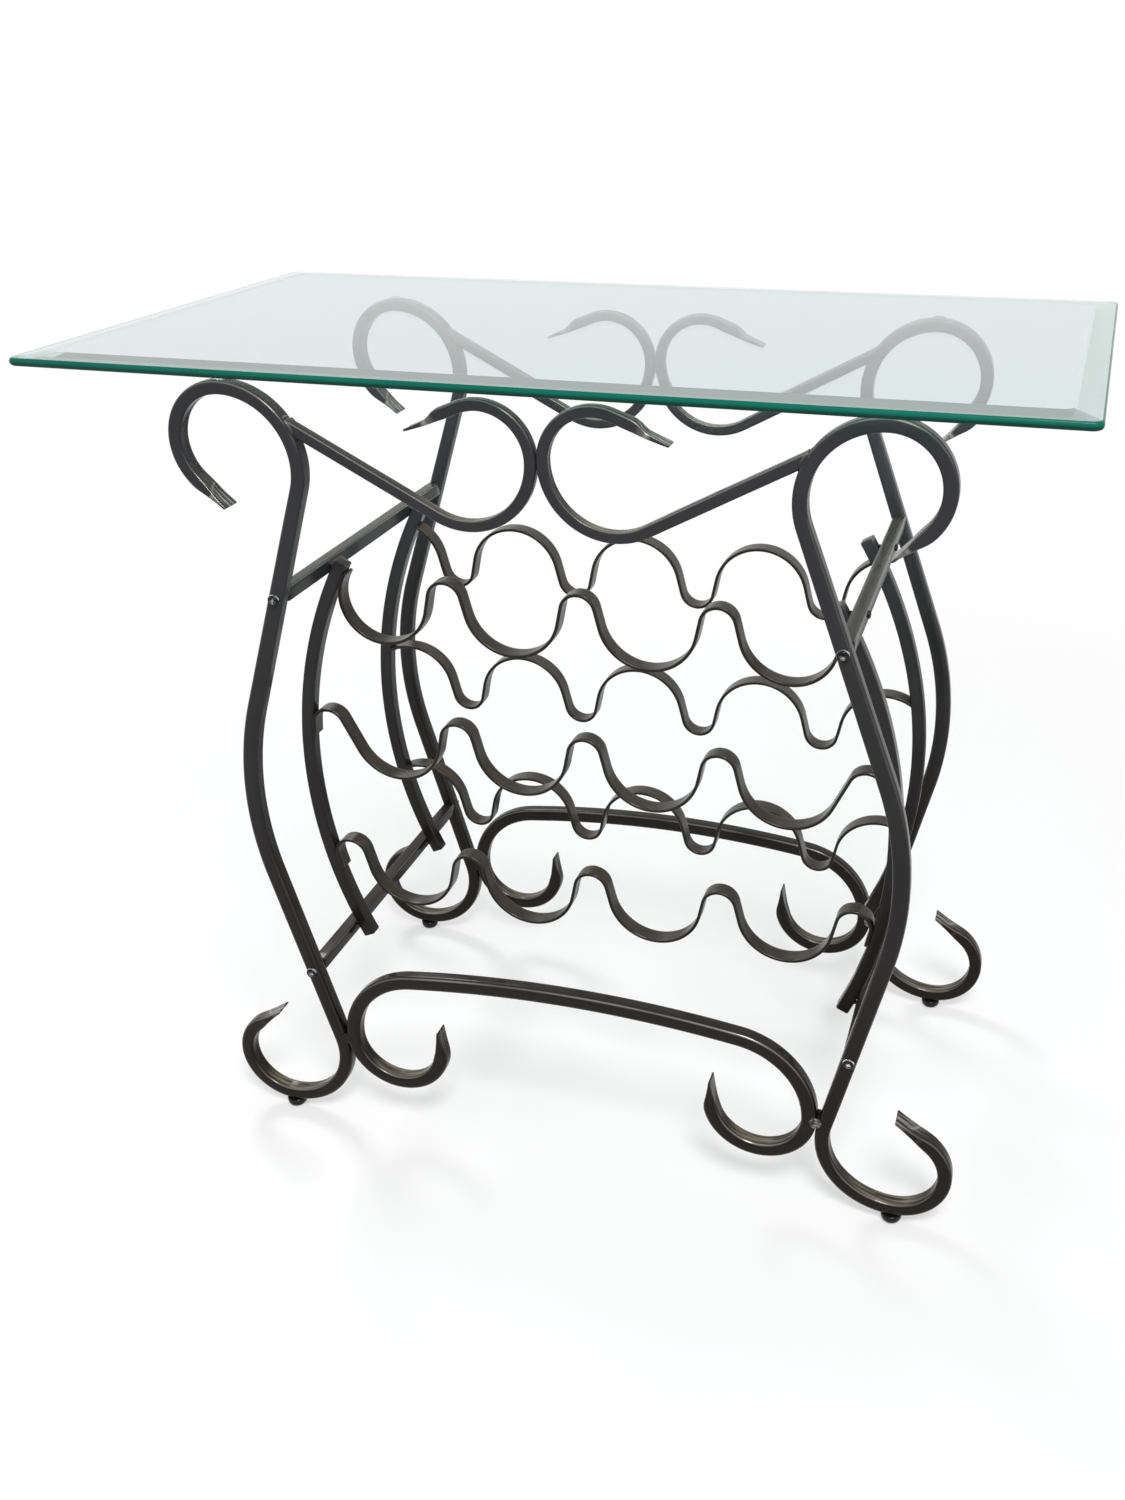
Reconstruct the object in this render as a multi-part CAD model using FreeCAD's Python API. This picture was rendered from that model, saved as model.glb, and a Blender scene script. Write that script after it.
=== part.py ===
import FreeCAD, Part
import math
import os

# Scrolled metal table with a bottle rack under a loose bevelled glass top.
# Millimetres, +Z up, X along the front. The base is drawn about its own middle on the floor
# and moved at the end, so that the origin lies under the middle of the glass.

# Glass top
glass_length = 900.0
glass_depth = 465.0
glass_thickness = 9.5
glass_edge_height = 6.5
bevel_width = 22.0
glass_corner_radius = 7.0
glass_shift_x = -22.0  # where the loose glass lies, from the middle of the base
glass_shift_y = 55.0
glass_turn = -1.3  # degrees, as it lies
pad_radius = 6.0
pad_thickness = 1.5

# Legs: square bar bent in one plane, drawn thinner in the scroll at the top and the one at the foot
leg_bar = 15.2
top_thickness = 12.4
foot_thickness = 14.0
leg_plane = 164.0  # middle of the base to the middle of a leg, along Y
scroll_top = 766.5
leg_top_out = 20.0  # middle of the top scroll, outside the outermost bends of the rack
top_small_radius = 47.5
top_large_radius = 63.5
top_tail_turn = 50.0
top_tail_length = 30.0
bow_out = 49.1
bow_height_share = 0.476  # height of the widest point of the bow, of the scroll tops' height
bow_radius = 312.0
foot_out = 57.7
foot_small_radius = 46.3
foot_large_radius = 67.4
foot_tail_turn = 52.0
foot_tail_length = 37.0

# Rounded long edges of the scrolled bars, and their flattened ends
corner_share = 0.23  # radius of an edge, of its bar
tail_middle_share = 0.42  # of the bar's thickness, left half-way along a tail
tail_thickness = 2.0  # at the tip
tail_spread = 4.0  # how much wider than its bar a tip becomes

# Apron scrolls of a lighter bar, and stretchers of the legs' bar
apron_bar = 10.5
apron_drop = 4.0  # tops of the apron scrolls, below those of the legs
apron_small_radius = 43.0
apron_large_radius = 57.0
apron_tail_turn = 68.0
apron_tail_length = 49.0
apron_butt_angle = 143.0  # where on the leg's top scroll the apron is welded
stretcher_middle = 195.5
stretcher_arch_radius = 1170.0
stretcher_loop_z = 106.0
stretcher_small_radius = 47.0
stretcher_tail_turn = 180.0
stretcher_tail_length = 24.0
weld_gap = 0.2  # between bars that meet on their bent sides

# Bottle rack: rails between the legs, bowed posts, waved flat strips
rail_bar = 12.7
upper_rail_drop = 189.5  # below the scroll tops
lower_rail_z = 180.0
post_bar = 12.7
post_y = 84.0
post_bow = 43.0
post_foot = 2.0  # how far a post reaches below the lower rail
strip_width = 16.0
strip_thickness = 3.0
bottle_pitch = 127.0
neck_radius = 16.0  # of the narrow bends, at the middle of the strip
flank_room = 2.5  # left over beside a wide and a narrow bend in half a pitch
wave_height = 68.0
cradle_shares = [0.9924, 0.5593, 0.1185]  # of the height that the rails leave for a wave
neck_shares = [0.9726, 0.5441, 0.1064]
tab_length = 16.0
top_tab_drop = 10.0  # from the top of a post to the end of the uppermost strip
seat_gap = 0.1
bend_step = 0.96  # how an end bend is made tighter until it fits

# Screw-in levelling feet
glide_height = 9.5
glide_top_radius = 10.0
glide_bottom_radius = 6.2
glide_chamfer = 3.5
stud_radius = 3.0
stud_length = 12.0
stud_clearance = 0.1
stud_end_room = 1.5
glide_gap = 0.3

# Fasteners
bolt_radius = 3.0
bolt_head_radius = 5.5
bolt_head_height = 3.0
bolt_grip = 18.0  # length held in a rail
bolt_hole_clearance = 0.3
screw_radius = 2.0
screw_head_radius = 3.6
screw_head_height = 2.0
screw_grip = 7.0  # length held in a post
screw_hole_clearance = 0.2
thread_clearance = 0.05
head_flat_share = 0.6  # of a head's radius, on top
head_rim_share = 0.3  # of a head's height, at its edge

Vector = FreeCAD.Vector
to_base = Vector(-glass_shift_x, -glass_shift_y, 0)


def polar(centre, radius, degrees):
    angle = math.radians(degrees)
    return (centre[0] + radius * math.cos(angle), centre[1] + radius * math.sin(angle))


def angle_to(centre, point):
    return math.degrees(math.atan2(point[1] - centre[1], point[0] - centre[0]))


def crossing_tangent(centre_a, radius_a, centre_b, radius_b, side):
    # the straight run that leaves one circle and joins another which bends the other way
    run = math.dist(centre_a, centre_b)
    lean = math.degrees(math.acos((radius_a + radius_b) / run))
    turn = angle_to(centre_a, centre_b) + side * lean
    return polar(centre_a, radius_a, turn), polar(centre_b, radius_b, turn + 180.0)


def point_tangent(centre, radius, point, side):
    # the angle at which a straight run to a point leaves a circle
    lean = math.degrees(math.acos(radius / math.dist(centre, point)))
    return angle_to(centre, point) + side * lean


def arc(centre, radius, start, end):
    return ("arc", centre, radius, start, end)


def line(start, end):
    return ("line", start, end)


def in_plane(point, y):
    return Vector(point[0], y, point[1])


def side_edge(piece, offset, y):
    # one piece of a path, moved sideways; a positive offset is to the left of the travel
    if piece[0] == "line":
        start, end = piece[1], piece[2]
        across = angle_to(start, end) + 90.0
        first = polar(start, offset, across)
        last = polar(end, offset, across)
        return Part.LineSegment(in_plane(first, y), in_plane(last, y)).toShape(), first, last
    centre, radius, start, end = piece[1:]
    moved = radius - offset if end > start else radius + offset
    first = polar(centre, moved, start)
    middle = polar(centre, moved, (start + end) / 2.0)
    last = polar(centre, moved, end)
    bend = Part.Arc(in_plane(first, y), in_plane(middle, y), in_plane(last, y))
    return bend.toShape(), first, last


def bent_bar(path, thickness, depth, y):
    # a sharp-edged bar bent in the X-Z plane: its two sides, closed by square ends, drawn out along Y
    front = y - depth / 2.0
    left = [side_edge(piece, thickness / 2.0, front) for piece in path]
    right = [side_edge(piece, -thickness / 2.0, front) for piece in path]
    edges = [edge for edge, first, last in left + right]
    for a, b in ((left[0][1], right[0][1]), (left[-1][2], right[-1][2])):
        edges.append(Part.LineSegment(in_plane(a, front), in_plane(b, front)).toShape())
    outline = Part.Wire(Part.__sortEdges__(edges))
    return Part.Face(outline).extrude(Vector(0, depth, 0))


def section(point, heading, thickness, depth, y):
    # a rectangle with rounded corners, square to the heading, given in degrees in the X-Z plane
    angle = math.radians(heading)
    across = Vector(-math.sin(angle), 0, math.cos(angle))
    along = Vector(0, 1, 0)
    middle = in_plane(point, y)
    radius = corner_share * min(thickness, depth)
    slant = radius * (1.0 - math.sqrt(0.5))
    edges = []
    ends = []
    for a, b in ((1, 1), (-1, 1), (-1, -1), (1, -1)):
        far = middle + across * (a * thickness / 2.0) + along * (b * depth / 2.0)
        on_side = far - along * (b * radius)
        on_bend = far - across * (a * slant) - along * (b * slant)
        on_face = far - across * (a * radius)
        corner = [on_side, on_bend, on_face] if a * b > 0 else [on_face, on_bend, on_side]
        edges.append(Part.Arc(*corner).toShape())
        ends.append((corner[0], corner[2]))
    for step in range(4):
        edges.append(Part.LineSegment(ends[step][1], ends[(step + 1) % 4][0]).toShape())
    return Part.Wire(Part.__sortEdges__(edges))


def round_bar(path, thicknesses, depth, y):
    # the skin of a bar with rounded edges bent in the X-Z plane: bends are revolved, straight runs
    # go from the thickness at their start to the one at their end
    faces = []
    for piece, (first, last) in zip(path, thicknesses):
        if piece[0] == "line":
            heading = angle_to(piece[1], piece[2])
            rings = [section(piece[1], heading, first, depth, y)]
            rings.append(section(piece[2], heading, last, depth, y))
            faces += Part.makeLoft(rings, False, True).Faces
        else:
            centre, radius, start, end = piece[1:]
            side = 1.0 if end > start else -1.0
            ring = section(polar(centre, radius, start), start + side * 90.0, first, depth, y)
            faces += ring.revolve(in_plane(centre, y), Vector(0, -side, 0), abs(end - start)).Faces
    return faces


def flat_tail(point, heading, length, thickness, depth, y):
    # the skin of a bar's end, hammered thin in the plane of the scroll and spread across it
    middle = polar(point, length / 2.0, heading)
    tip = polar(point, length, heading)
    rings = [section(point, heading, thickness, depth, y)]
    rings.append(section(middle, heading, thickness * tail_middle_share, depth + tail_spread / 2.0, y))
    rings.append(section(tip, heading, tail_thickness, depth + tail_spread, y))
    return Part.makeLoft(rings, False, True).Faces + [Part.Face(rings[-1])]


def closed(faces):
    skin = Part.makeCompound(faces)
    skin.sewShape()
    solid = Part.makeSolid(skin.Shells[0])
    if solid.Volume < 0:
        solid.reverse()
    return solid


def cylinder(radius, length, start, direction):
    return Part.makeCylinder(radius, length, start, direction)


def turned(profile, foot, axis):
    # a round piece from (radius, height) corners; profiles run from the axis to the axis
    points = [Vector(r, 0, h) for r, h in profile]
    face = Part.Face(Part.makePolygon(points + points[:1]))
    solid = face.revolve(Vector(0, 0, 0), Vector(0, 0, 1), 360)
    solid.Placement = FreeCAD.Placement(foot, FreeCAD.Rotation(Vector(0, 0, 1), axis))
    return solid


def mirrored(solid):
    return solid.mirror(Vector(0, 0, 0), Vector(1, 0, 0))


def save(name, solid):
    placed = solid.copy()
    placed.translate(to_base)
    placed.exportStep("parts/" + name + ".step")


# Leg path, from the top tail over the scroll, down the bow and round the foot scroll
half_pitch = bottle_pitch / 2.0
rack_half = 4.0 * half_pitch
leg_top_x = rack_half + leg_top_out
foot_x = rack_half + foot_out
half_leg = leg_bar / 2.0
top_line = scroll_top - top_thickness / 2.0
foot_line = glide_height + foot_thickness / 2.0
top_small = (leg_top_x, top_line - top_small_radius)
top_large = (leg_top_x, top_line - top_large_radius)
bow = (rack_half + bow_out - bow_radius, scroll_top * bow_height_share)
foot_large = (foot_x, foot_line + foot_large_radius)
foot_small = (foot_x, foot_line + foot_small_radius)
bow_start, neck_end = crossing_tangent(bow, bow_radius, top_large, top_large_radius, -1)
bow_end, waist_start = crossing_tangent(bow, bow_radius, foot_large, foot_large_radius, 1)
neck_angle = angle_to(top_large, neck_end) % 360.0
waist_angle = angle_to(foot_large, waist_start) % 360.0
leg_path = [
    arc(top_small, top_small_radius, -top_tail_turn, 90.0),
    arc(top_large, top_large_radius, 90.0, neck_angle),
    line(neck_end, bow_start),
    arc(bow, bow_radius, angle_to(bow, bow_start), angle_to(bow, bow_end)),
    line(bow_end, waist_start),
    arc(foot_large, foot_large_radius, waist_angle, 270.0),
    arc(foot_small, foot_small_radius, 270.0, 360.0 + foot_tail_turn),
]
leg_thicknesses = [(top_thickness, top_thickness)] * 2
leg_thicknesses += [(top_thickness, leg_bar), (leg_bar, leg_bar), (leg_bar, foot_thickness)]
leg_thicknesses += [(foot_thickness, foot_thickness)] * 2


def on_run(start, end, height):
    # where a straight run of the leg passes a height
    share = (height - start[1]) / (end[1] - start[1])
    return start[0] + share * (end[0] - start[0])


upper_rail_z = scroll_top - upper_rail_drop
upper_rail_x = on_run(neck_end, bow_start, upper_rail_z)
lower_rail_x = on_run(bow_end, waist_start, lower_rail_z)
rail_places = {"upper": (upper_rail_x, upper_rail_z), "lower": (lower_rail_x, lower_rail_z)}


def leg(y):
    top_tail = polar(top_small, top_small_radius, -top_tail_turn)
    foot_tail = polar(foot_small, foot_small_radius, foot_tail_turn)
    faces = round_bar(leg_path, leg_thicknesses, leg_bar, y)
    faces += flat_tail(top_tail, -top_tail_turn - 90.0, top_tail_length, top_thickness, leg_bar, y)
    faces += flat_tail(foot_tail, foot_tail_turn + 90.0, foot_tail_length, foot_thickness, leg_bar, y)
    solid = closed(faces)
    for x, z in rail_places.values():
        hole = cylinder(bolt_radius + bolt_hole_clearance, leg_bar,
                        Vector(x, y - half_leg, z), Vector(0, 1, 0))
        solid = solid.cut(hole)
    socket = cylinder(stud_radius + stud_clearance, glide_gap + stud_length + stud_end_room,
                      Vector(foot_x, y, glide_height - glide_gap), Vector(0, 0, 1))
    return solid.cut(socket)


# Apron scroll: a loop that touches its twin in the middle, and a straight run to the leg
half_apron = apron_bar / 2.0
apron_touch = half_apron + weld_gap / 2.0
apron_level = scroll_top - apron_drop - half_apron - apron_small_radius
apron_small = (apron_touch + apron_small_radius, apron_level)
apron_large = (apron_touch + apron_large_radius, apron_level)
apron_butt = polar(top_large, top_large_radius, apron_butt_angle)
apron_leave = point_tangent(apron_large, apron_large_radius, apron_butt, -1) % 360.0


def apron_scroll(y, leg_solid):
    path = [
        arc(apron_small, apron_small_radius, apron_tail_turn, 180.0),
        arc(apron_large, apron_large_radius, 180.0, apron_leave),
        line(polar(apron_large, apron_large_radius, apron_leave), apron_butt),
    ]
    tail = polar(apron_small, apron_small_radius, apron_tail_turn)
    faces = round_bar(path, [(apron_bar, apron_bar)] * 3, apron_bar, y)
    faces += flat_tail(tail, apron_tail_turn - 90.0, apron_tail_length, apron_bar, apron_bar, y)
    heading = angle_to(path[-1][1], apron_butt)
    faces.append(Part.Face(section(apron_butt, heading, apron_bar, apron_bar, y)))
    return closed(faces).cut(leg_solid)


# Stretcher: a long flat arch whose ends curl down, out to the legs and back inwards
weld_run = foot_large_radius + foot_thickness / 2.0 + weld_gap + half_leg + stretcher_small_radius
loop_step = stretcher_loop_z - foot_large[1]
stretcher_out = foot_x - math.sqrt(weld_run ** 2 - loop_step ** 2) + stretcher_small_radius
arch_centre = (0.0, stretcher_middle - stretcher_arch_radius)
loop_rise = stretcher_loop_z - arch_centre[1]
stretcher_large_radius = (stretcher_arch_radius ** 2 - stretcher_out ** 2 - loop_rise ** 2)
stretcher_large_radius /= 2.0 * (stretcher_arch_radius - stretcher_out)
stretcher_large = (stretcher_out - stretcher_large_radius, stretcher_loop_z)
stretcher_small = (stretcher_out - stretcher_small_radius, stretcher_loop_z)
arch_end = angle_to(arch_centre, stretcher_large)


def stretcher(y):
    path = [
        arc(arch_centre, stretcher_arch_radius, 90.0, arch_end),
        arc(stretcher_large, stretcher_large_radius, arch_end, 0.0),
        arc(stretcher_small, stretcher_small_radius, 0.0, -stretcher_tail_turn),
    ]
    tail = polar(stretcher_small, stretcher_small_radius, -stretcher_tail_turn)
    faces = round_bar(path, [(leg_bar, leg_bar)] * 3, leg_bar, y)
    faces += flat_tail(tail, -stretcher_tail_turn - 90.0, stretcher_tail_length, leg_bar, leg_bar, y)
    return closed(faces + [mirrored(face) for face in faces])


# Rails along Y, bolted between the front and back legs; screws go through them into the posts
half_rail = rail_bar / 2.0
rail_half_length = leg_plane - half_leg


def side_rail(place):
    x, z = rail_places[place]
    corner = Vector(x - half_rail, -rail_half_length, z - half_rail)
    solid = Part.makeBox(rail_bar, 2.0 * rail_half_length, rail_bar, corner)
    for side in (-1, 1):
        end = Vector(x, side * rail_half_length, z)
        solid = solid.cut(cylinder(bolt_radius + thread_clearance, bolt_grip + thread_clearance,
                                   end, Vector(0, -side, 0)))
        across = Vector(x - half_rail, side * post_y, z)
        solid = solid.cut(cylinder(screw_radius + screw_hole_clearance, rail_bar,
                                   across, Vector(1, 0, 0)))
    return solid


# Post: an arc whose outer side rests on the near edges of the two rails
half_post = post_bar / 2.0
post_high = (upper_rail_x - half_rail - seat_gap, upper_rail_z - half_rail)
post_low = (lower_rail_x - half_rail - seat_gap, lower_rail_z + half_rail)
post_chord = math.dist(post_high, post_low)
post_outer_radius = (post_chord ** 2 / 4.0 + post_bow ** 2) / (2.0 * post_bow)
post_lean = angle_to(post_low, post_high) - 90.0
post_middle = ((post_high[0] + post_low[0]) / 2.0, (post_high[1] + post_low[1]) / 2.0)
post_centre = polar(post_middle, post_outer_radius - post_bow, post_lean + 180.0)
post_radius = post_outer_radius - half_post
post_face_radius = post_radius - half_post
post_top = upper_rail_z + half_rail
post_bottom = lower_rail_z - half_rail - post_foot


def angle_at_height(radius, height):
    return math.degrees(math.asin((height - post_centre[1]) / radius))


def screw_depth_point(place):
    # where a screw's axis meets the outer side of the post
    x, z = rail_places[place]
    return polar(post_centre, post_outer_radius, angle_at_height(post_outer_radius, z))[0]


def rack_post(y):
    path = [arc(post_centre, post_radius, angle_at_height(post_radius, post_top),
                angle_at_height(post_radius, post_bottom))]
    solid = bent_bar(path, post_bar, post_bar, y)
    for place, (x, z) in rail_places.items():
        inner = screw_depth_point(place) - screw_grip - thread_clearance
        hole = cylinder(screw_radius + thread_clearance, x - half_rail - inner,
                        Vector(inner, y, z), Vector(1, 0, 0))
        solid = solid.cut(hole)
    return solid


# Waved strips: bends on a line, alternately high and low, joined by straight flanks
bottle_radius = half_pitch - neck_radius - flank_room
strip_seat_radius = post_face_radius - seat_gap - strip_thickness / 2.0


def low_line(low):
    return low + strip_thickness / 2.0


def high_line(low):
    return low + wave_height - strip_thickness / 2.0


def wave(low, low_radius, high_radius, last, last_radius):
    # from the middle bend outwards to the last one, which stays open at its far side
    level = high_line(low) - high_radius
    highs = [(0.0, level, high_radius), (2.0 * half_pitch, level, high_radius)]
    highs.append((last[0], last[1], last_radius))
    level = low_line(low) + low_radius
    lows = [(half_pitch, level), (3.0 * half_pitch, level)]
    path = []
    enter = 90.0
    for step in range(2):
        here, radius = highs[step][:2], highs[step][2]
        there, next_radius = highs[step + 1][:2], highs[step + 1][2]
        leave, meet = crossing_tangent(here, radius, lows[step], low_radius, 1)
        path.append(arc(here, radius, enter, angle_to(here, leave)))
        path.append(line(leave, meet))
        enter = angle_to(lows[step], meet) % 360.0
        leave, meet = crossing_tangent(lows[step], low_radius, there, next_radius, -1)
        swing = (angle_to(lows[step], leave) - enter) % 360.0
        path.append(arc(lows[step], low_radius, enter, enter + swing))
        path.append(line(leave, meet))
        enter = angle_to(there, meet)
    return path, enter


def whole_strip(path, y):
    half = bent_bar(path, strip_thickness, strip_width, y)
    return half.fuse(mirrored(half)).removeSplitter()


def end_bend(low):
    # the widest bend that turns down on to the post and clears the cup beside it
    cup = (3.0 * half_pitch, low_line(low) + bottle_radius)
    radius = neck_radius
    clear = False
    while not clear:
        rise = high_line(low) - radius - post_centre[1]
        reach = math.sqrt((strip_seat_radius - radius) ** 2 - rise ** 2)
        centre = (post_centre[0] + reach, post_centre[1] + rise)
        clear = math.dist(centre, cup) > radius + bottle_radius
        radius = radius if clear else radius * bend_step
    return centre, radius


def cradle_strip(low):
    # the end bend turns down on to the post's inner side and runs along it
    end, radius = end_bend(low)
    path, enter = wave(low, bottle_radius, neck_radius, end, radius)
    touch = angle_to(post_centre, end)
    stop = touch - math.degrees(tab_length / strip_seat_radius)
    path.append(arc(end, radius, enter, touch))
    path.append(arc(post_centre, strip_seat_radius, touch, stop))
    return whole_strip(path, -post_y)


def top_cradle_strip(low):
    # the outer cups rise straight on to the posts and run up along them
    cup = 3.0 * half_pitch
    beyond = (rack_half, high_line(low) - neck_radius)
    path = wave(low, bottle_radius, neck_radius, beyond, neck_radius)[0]
    across = cup - post_centre[0]
    rise = low_line(low) - post_centre[1]
    end_radius = strip_seat_radius ** 2 - rise ** 2 - across ** 2
    end_radius /= 2.0 * (rise + strip_seat_radius)
    end_cup = (cup, low_line(low) + end_radius)
    touch = angle_to(post_centre, end_cup)
    stop = angle_at_height(strip_seat_radius, post_top - top_tab_drop)
    last_bend = path[-2]
    path = path[:-2]
    path.append(arc(last_bend[1], bottle_radius, last_bend[3], 270.0))
    path.append(arc(end_cup, end_radius, 270.0, 360.0 + touch))
    path.append(arc(post_centre, strip_seat_radius, touch, stop))
    return whole_strip(path, -post_y)


def neck_strip(low, post_solids):
    # the outer wide bends run into the posts, straight on where these stand far out, and are cut to them
    end = (rack_half, high_line(low) - bottle_radius)
    path, enter = wave(low, neck_radius, bottle_radius, end, bottle_radius)
    apart = math.dist(end, post_centre)
    if apart + bottle_radius < post_face_radius:
        crest = polar(end, bottle_radius, 90.0)
        turn = angle_at_height(post_face_radius, crest[1])
        path.append(arc(end, bottle_radius, enter, 90.0))
        path.append(line(crest, polar(post_centre, post_face_radius, turn)))
    else:
        bend = (apart ** 2 + bottle_radius ** 2 - post_face_radius ** 2)
        bend /= 2.0 * apart * bottle_radius
        meet = (angle_to(end, post_centre) - math.degrees(math.acos(bend))) % 360.0
        path.append(arc(end, bottle_radius, enter, meet))
    strip = whole_strip(path, post_y)
    for post_solid in post_solids:
        strip = strip.cut(post_solid)
    return strip


# Levelling foot: a tapered glide with a chamfered rim, moulded on a stud
def foot_glide(y):
    under = glide_height - glide_gap
    profile = [(0, 0), (glide_bottom_radius, 0)]
    profile += [(glide_bottom_radius + glide_chamfer, glide_chamfer), (glide_top_radius, under)]
    profile += [(stud_radius, under), (stud_radius, glide_height + stud_length)]
    profile.append((0, glide_height + stud_length))
    return turned(profile, Vector(foot_x, y, 0), Vector(0, 0, 1))


# Round-headed fasteners, head at the foot point, shank along the axis
def headed(foot, axis, head_radius, head_height, radius, length):
    head = [(0, -head_height), (head_radius * head_flat_share, -head_height)]
    head += [(head_radius, -head_height * head_rim_share), (head_radius, 0)]
    return turned(head + [(radius, 0), (radius, length), (0, length)], foot, axis)


def rail_bolts():
    bolts = []
    length = leg_bar + bolt_grip
    for x, z in rail_places.values():
        for side in (-1, 1):
            foot = Vector(x, side * (leg_plane + half_leg), z)
            bolt = headed(foot, Vector(0, -side, 0), bolt_head_radius, bolt_head_height,
                          bolt_radius, length)
            bolts += [bolt, mirrored(bolt)]
    return Part.makeCompound(bolts)


def post_screws():
    screws = []
    for place, (x, z) in rail_places.items():
        outside = x + half_rail
        length = outside - screw_depth_point(place) + screw_grip
        for side in (-1, 1):
            foot = Vector(outside, side * post_y, z)
            screw = headed(foot, Vector(-1, 0, 0), screw_head_radius, screw_head_height,
                           screw_radius, length)
            screws += [screw, mirrored(screw)]
    return Part.makeCompound(screws)


# Clear discs on the legs' scroll tops, and the bevelled sheet that lies on them
def glass_pads():
    pads = []
    for side in (-1, 1):
        foot = Vector(leg_top_x, side * leg_plane, scroll_top)
        pad = cylinder(pad_radius, pad_thickness, foot, Vector(0, 0, 1))
        pads += [pad, mirrored(pad)]
    return Part.makeCompound(pads)


def rounded_sheet(length, depth, radius, z):
    x, y = length / 2.0, depth / 2.0
    slant = radius * (1.0 - math.sqrt(0.5))
    edges = []
    ends = []
    for sx, sy in ((1, 1), (-1, 1), (-1, -1), (1, -1)):
        corner = [Vector(sx * x, sy * (y - radius), z), Vector(sx * (x - slant), sy * (y - slant), z)]
        corner.append(Vector(sx * (x - radius), sy * y, z))
        if sx * sy < 0:
            corner.reverse()
        edges.append(Part.Arc(*corner).toShape())
        ends.append((corner[0], corner[2]))
    for step in range(4):
        edges.append(Part.LineSegment(ends[step][1], ends[(step + 1) % 4][0]).toShape())
    return Part.Wire(Part.__sortEdges__(edges))


def glass_top():
    base = scroll_top + pad_thickness + seat_gap
    shoulder = base + glass_edge_height
    outer = rounded_sheet(glass_length, glass_depth, glass_corner_radius, base)
    sheet = Part.Face(outer).extrude(Vector(0, 0, glass_edge_height))
    rim = rounded_sheet(glass_length, glass_depth, glass_corner_radius, shoulder)
    crown = rounded_sheet(glass_length - 2.0 * bevel_width, glass_depth - 2.0 * bevel_width,
                          glass_corner_radius, base + glass_thickness)
    solid = sheet.fuse(Part.makeLoft([rim, crown], True, True)).removeSplitter()
    solid.rotate(Vector(0, 0, 0), Vector(0, 0, 1), glass_turn)
    solid.translate(Vector(glass_shift_x, glass_shift_y, 0))
    return solid


os.makedirs("parts", exist_ok=True)
save("glass_top", glass_top())
save("glass_pads", glass_pads())

for row, y in (("front", -leg_plane), ("back", leg_plane)):
    right_leg = leg(y)
    right_apron = apron_scroll(y, right_leg)
    glide = foot_glide(y)
    save("stretcher_" + row, stretcher(y))
    for name, solid in (("leg_", right_leg), ("apron_scroll_", right_apron), ("foot_glide_", glide)):
        save(name + row + "_right", solid)
        save(name + row + "_left", mirrored(solid))

for place in rail_places:
    rail = side_rail(place)
    save("side_rail_" + place + "_right", rail)
    save("side_rail_" + place + "_left", mirrored(rail))

back_post = rack_post(post_y)
for row, y in (("front", -post_y), ("back", post_y)):
    post = rack_post(y)
    save("rack_post_" + row + "_right", post)
    save("rack_post_" + row + "_left", mirrored(post))

rack_room = upper_rail_z - lower_rail_z - wave_height
for level, share in zip(("top", "middle", "bottom"), cradle_shares):
    low = lower_rail_z + share * rack_room
    strip = top_cradle_strip(low) if level == "top" else cradle_strip(low)
    save("cradle_strip_" + level, strip)

for level, share in zip(("top", "middle", "bottom"), neck_shares):
    low = lower_rail_z + share * rack_room
    save("neck_strip_" + level, neck_strip(low, (back_post, mirrored(back_post))))

save("rail_bolts", rail_bolts())
save("post_screws", post_screws())
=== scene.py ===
import math

import bpy
import numpy as np
from mathutils import Matrix


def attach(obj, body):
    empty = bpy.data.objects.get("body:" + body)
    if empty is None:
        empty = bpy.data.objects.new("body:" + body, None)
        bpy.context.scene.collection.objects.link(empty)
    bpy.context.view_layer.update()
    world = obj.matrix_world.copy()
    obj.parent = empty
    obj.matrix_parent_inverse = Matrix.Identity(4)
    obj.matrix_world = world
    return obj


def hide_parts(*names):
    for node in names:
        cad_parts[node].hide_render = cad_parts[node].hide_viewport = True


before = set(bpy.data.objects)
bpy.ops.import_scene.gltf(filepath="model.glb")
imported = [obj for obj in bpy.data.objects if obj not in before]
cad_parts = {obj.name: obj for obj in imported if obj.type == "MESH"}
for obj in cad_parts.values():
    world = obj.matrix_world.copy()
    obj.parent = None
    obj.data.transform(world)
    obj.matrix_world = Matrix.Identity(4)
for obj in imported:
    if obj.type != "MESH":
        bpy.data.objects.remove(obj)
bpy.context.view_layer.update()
scene = bpy.context.scene
print("frame loaded:", len(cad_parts), "nodes")

# Metres throughout. The base is drawn about its own middle and then moved under the glass.
base = {
    "x": 0.022, "y": -0.055, "legPlane": 0.164, "postPlane": 0.084,
    "rackHalf": 0.254, "halfPitch": 0.0635,
}
rows = (("Front", -1), ("Back", 1))


# Paths in the X-Z plane

spacing = {"arc": 0.0035, "longArc": 0.006, "arch": 0.008, "line": 0.006, "tailPoints": 13}


def polar(centre, radius, degrees):
    angle = math.radians(degrees)
    return np.array([centre[0] + radius * math.cos(angle), centre[1] + radius * math.sin(angle)])


def angleTo(centre, point):
    return math.degrees(math.atan2(point[1] - centre[1], point[0] - centre[0]))


def apart(first, second):
    return math.hypot(first[0] - second[0], first[1] - second[1])


def crossingTangent(centreA, radiusA, centreB, radiusB, side):
    # straight run between two circles that bend opposite ways
    lean = math.degrees(math.acos((radiusA + radiusB) / apart(centreA, centreB)))
    turn = angleTo(centreA, centreB) + side * lean
    return polar(centreA, radiusA, turn), polar(centreB, radiusB, turn + 180)


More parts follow.
